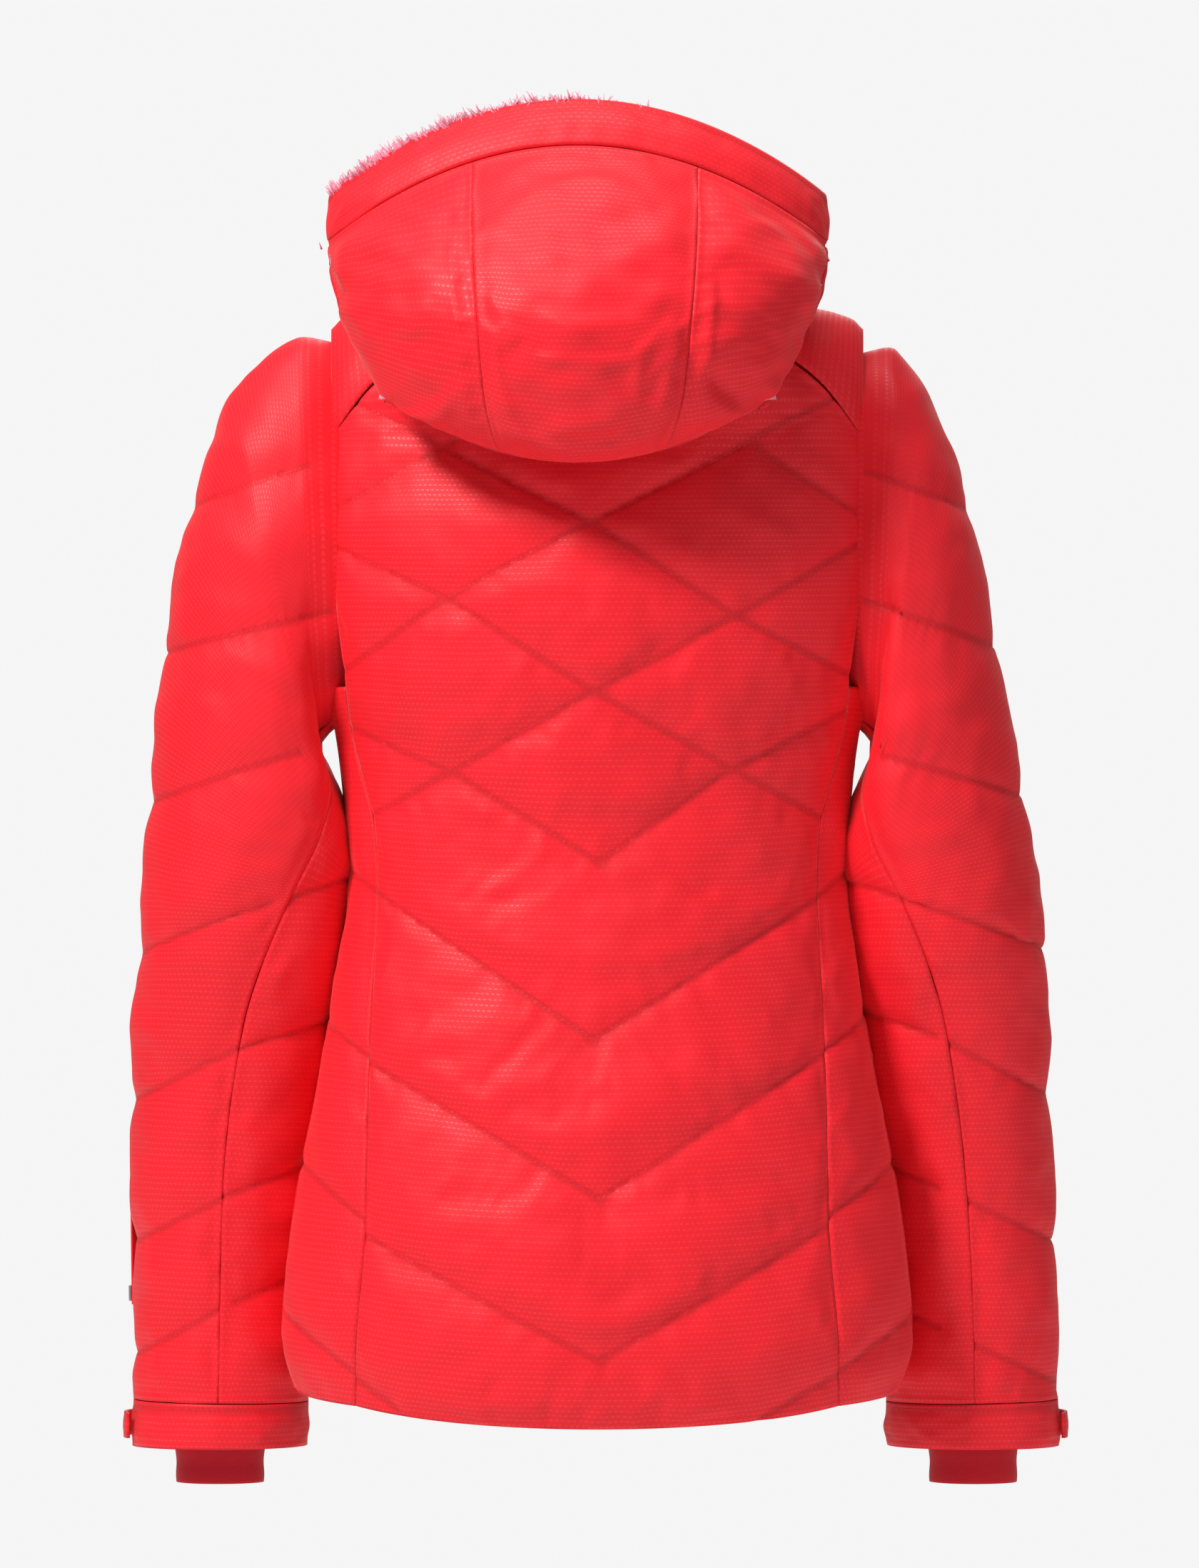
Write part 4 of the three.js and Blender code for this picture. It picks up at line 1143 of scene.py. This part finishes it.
ribbon = bmesh.new()
bmesh.ops.create_grid(ribbon, x_segments=60, y_segments=6, size=0.5)
ribbon_uv = ribbon.loops.layers.uv.new("Cloth")
for face in ribbon.faces:
    for corner in face.loops:
        corner[ribbon_uv].uv = (corner.vert.co.x * 0.07, corner.vert.co.y * 0.006)
for vert in ribbon.verts:
    u, v = vert.co.x + 0.5, vert.co.y
    here, ahead = loop_at(u), loop_at(u + 0.01) - loop_at(u - 0.01)
    across = Vector((-ahead.z, 0, ahead.x)).normalized()
    weave_ridge = 0.12 * math.cos(v * 2 * math.pi * 3)
    vert.co = (here + across * v * RIBBON + Vector((0, weave_ridge, 0))) * MM
loop_piece = object_from(ribbon, "hanger_ribbon")
thickened(loop_piece, RIBBON_THICK, 0)
finish_piece(loop_piece, "jacket_body", ["hanger_loop"], tape_cloth)

# %% [markdown]
# ## Cuffs: stretch gaiters and tabs
# A ribbed stretch gaiter hangs out of each cuff, and a tab lies round the cuff's outer side.

# %% Gaiters and tabs
GAITER_TOP, GAITER_BOTTOM, GAITER_HALF_WIDTH, GAITER_HALF_DEPTH = -632, -712, 28, 26
TAB_FRONT, TAB_TIP, TAB_TOP, TAB_BOTTOM = -0.12, 0.05, 11.76, 11.94
for word, side in (("left", -1), ("right", 1)):
    sleeve = sleeves[word]
    wrist = (sleeve(0, LAST_RING) + sleeve(0.5, LAST_RING)) / 2

    def gaiter_at(u, v):
        flare = lerp(1, 1.25, v * v) * (1 + 0.012 * math.sin(9 * math.pi * v))
        angle = u * 2 * math.pi
        return Vector((wrist.x + GAITER_HALF_WIDTH * flare * math.cos(angle),
                       wrist.y + GAITER_HALF_DEPTH * flare * math.sin(angle), lerp(GAITER_BOTTOM,
                                                                                   GAITER_TOP, v)))

    gaiter = soft_sheet(f"stretch_gaiter_{word}", (72, 24), gaiter_at, wrist * MM, 0.5, 1.8,
                        ripple=0.5, closed=True)
    finish_piece(gaiter, f"{word}_forearm", [f"wrist_gaiter_{word}"],
                 gaiter_cloth)
    tab = padded_panel(
        f"cuff_tab_strip_{word}", (32, 8),
        lambda u, v: sleeve(lerp(TAB_FRONT, TAB_TIP, u), lerp(TAB_BOTTOM, TAB_TOP, v),
                            -6.2), sleeve_heart(side),
        rows=[0.125, 0.875], seam=0.6, stitch=0.5, loft=0.0, cap=0.8, pressure=3, thick=2.0)
    finish_piece(tab, f"{word}_cuff_tab", [f"cuff_tab_{word}"], shell_cloth)

# %% [markdown]
# ## Zips
# Every zip runs down a straight line, with its own axes: x across, y out of the cloth and z up.
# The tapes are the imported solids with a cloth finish. The coils, sliders and pulls are modelled
# here, because their small shapes are what makes a zip read as one.

# %% The place of a zip, its coil and its hardware
def zip_place(top, bottom, outward):
    up = (top - bottom).normalized()
    across = outward.cross(up).normalized()
    out = up.cross(across)
    turn = Matrix((across, out, up)).transposed().to_4x4()
    return Matrix.Translation(top * MM) @ turn


def shaped(mesh, name, place, body, replaced, finish):
    bmesh.ops.transform(mesh, matrix=place, verts=mesh.verts)
    piece = object_from(mesh, name)
    piece.data.polygons.foreach_set("use_smooth", [False] * len(piece.data.polygons))
    return finish_piece(piece, body, replaced, finish)


def block(mesh, width, depth, height, at, bevel):
    """A bevelled block, in millimetres, with its middle at a place."""
    made = bmesh.ops.create_cube(mesh, size=1.0)["verts"]
    bmesh.ops.scale(mesh, vec=Vector((width, depth, height)) * MM, verts=made)
    bmesh.ops.translate(mesh, vec=Vector(at) * MM, verts=made)
    edges = list({e for v in made for e in v.link_edges})
    bmesh.ops.bevel(mesh, geom=edges, offset=bevel * MM, segments=3, profile=0.5, affect="EDGES",
                    material=-1)


def coil(name, place, length, start, half, high, body, finish, pitch=1.9):
    """The two rows of loops of a coil zip, leaning into each other."""
    mesh = bmesh.new()
    for i in range(int((length - start) / pitch)):
        z = -start - i * pitch
        for side in (-1, 1):
            made = bmesh.ops.create_uvsphere(mesh, u_segments=6, v_segments=4, radius=1.0)["verts"]
            bmesh.ops.scale(mesh, vec=Vector((half * 0.62, 0.55, pitch * 0.36)) * MM, verts=made)
            shift = Vector((side * half * 0.5, high, z - (side + 1) * pitch / 4)) * MM
            bmesh.ops.translate(mesh, vec=shift, verts=made)
    return shaped(mesh, name, place, body, [], finish)


def slider_mesh(half, low, length, lift, top):
    mesh = bmesh.new()
    block(mesh, 2 * half, 1.5, length, (0, lift + 1.2, top - length / 2), 0.5)
    for side in (-1, 1):
        block(mesh, 1.3, 2.0 - low, length * 0.9,
              (side * (half - 0.65), lift + (low + 1.9) / 2, top - length / 2),
              0.3)
    block(mesh, 2.0, 1.0, length * 0.6, (0, lift + 2.4, top - length / 2), 0.4)
    return mesh


def pull_mesh(width, length, thick, lift, top):
    mesh = bmesh.new()
    block(mesh, width, thick, length, (0, lift + thick / 2, top - length / 2), thick * 0.42)
    plate_face = (width * length * 0.3) * 1e-6
    faces = [f for f in mesh.faces if abs(f.normal.y) > 0.95 and f.calc_area() > plate_face]
    bmesh.ops.inset_region(mesh, faces=faces, thickness=1.1 * MM, depth=-0.25 * MM)
    block(mesh, width * 0.55, thick * 0.9, 3.0, (0, lift + thick / 2, top - 0.2), 0.4)
    return mesh


tape_grain = plain_finish("zip_tape_weave", (0.42, 0.008, 0.022), 0.8, grain=1400.0, depth=0.00025)


def keep_solid(node, finish):
    """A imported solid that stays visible, with a better finish."""
    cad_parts[node].data.materials.clear()
    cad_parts[node].data.materials.append(finish)


# %% The front zip
ZIP_TOP_Z, ZIP_BOTTOM_Z = 20, -640
zip_top, zip_bottom = (Vector((0, front_y(z), z)) for z in (ZIP_TOP_Z, ZIP_BOTTOM_Z))
front_place = zip_place(zip_top, zip_bottom, Vector((0, 1, 0)))
ZIP_LENGTH = (zip_top - zip_bottom).length
for node in ("front_zip_left", "front_zip_right"):
    keep_solid(node, tape_grain)
keep_solid("front_zip_box", coil_plastic)
coil("front_zip_coil", front_place, ZIP_LENGTH - 15, 3, 2.6, -0.3, "jacket_body", coil_plastic)
shaped(slider_mesh(5.2, -3.6, 15, 0, -4), "front_slider_body", front_place, "front_slider",
       ["front_zip_slider"], pull_metal)
shaped(pull_mesh(8, 34, 1.6, 2.4, -8), "front_pull_plate", front_place, "front_pull",
       ["front_zip_pull"], pull_metal)
FLAP_LEFT, FLAP_RIGHT, FLAP_UNDER, FLAP_TOP = -15.5, 12, -8.2, -60


def flap_at(u, v):
    along = lerp(20 - ZIP_LENGTH, FLAP_TOP, v)
    return front_place @ (Vector((lerp(FLAP_LEFT, FLAP_RIGHT, u), FLAP_UNDER, along)) * MM) / MM


flap = soft_sheet("storm_flap_strip", (8, 150), flap_at, BODY_HEART, 0.3, 1.4, ripple=0.2)
finish_piece(flap, "jacket_body", ["storm_flap"], shell_cloth)
print("front zip", round(ZIP_LENGTH), "mm")

# %% The pocket zips
POCKET_TOP, POCKET_BOTTOM, POCKET_LIFT = (96, -405), (120, -553), 3.2


def on_front(x, z):
    place = body_at(2 - turn_at_x(abs(x), z), z)
    place.x *= math.copysign(1, x)
    return place


def small_zip(word, place, length, node, body, slider_body, slider_node, slider_top):
    keep_solid(node, tape_grain)
    coil(f"{word}_coil", place, length, 1, 1.8, 1.2, body, coil_plastic)
    return shaped(slider_mesh(3.8, 0.6, 10, 1.8, slider_top), f"{word}_slider_body", place,
                  slider_body,
                  [slider_node], pull_metal)


for word, side in (("left", -1), ("right", 1)):
    top, bottom = on_front(side * POCKET_TOP[0], POCKET_TOP[1]), on_front(side * POCKET_BOTTOM[0],
                                                                          POCKET_BOTTOM[1])
    middle = (top + bottom) / 2
    outward = Vector((middle.x / half_width(middle.z) ** 2,
                      (middle.y - MID_Y) / front_depth(middle.z) ** 2, 0))
    outward.normalize()
    place = zip_place(top + outward * POCKET_LIFT, bottom + outward * POCKET_LIFT, outward)
    length = (top - bottom).length
    small_zip(f"pocket_{word}", place, length, f"pocket_{word}_zip", "jacket_body",
              f"{word}_pocket_slider",
              f"pocket_slider_{word}", -1)
    shaped(pull_mesh(6, 24, 1.4, 4.2, -4), f"pocket_pull_plate_{word}", place,
           f"{word}_pocket_pull",
           [f"pocket_pull_{word}"], pull_metal)

PASS_TURN, PASS_TOP_RING, PASS_BOTTOM_RING = -0.045, 9.9, 11.0
pass_top, pass_bottom = (sleeves["left"](PASS_TURN, ring, -2.4) for ring in (PASS_TOP_RING,
                                                                             PASS_BOTTOM_RING))
pass_out = sleeves["left"](PASS_TURN, 10.45, -10) - sleeves["left"](PASS_TURN, 10.45, 0)
pass_length = (pass_top - pass_bottom).length
small_zip("pass_pocket", zip_place(pass_top, pass_bottom, pass_out), pass_length,
          "pass_pocket_zip", "left_forearm",
          "pass_slider", "pass_pocket_slider", 11 - pass_length)
keep_solid("pass_pocket_zip", plain_finish("pass_zip_flap", RED, 0.7, grain=1400.0, depth=0.00025))
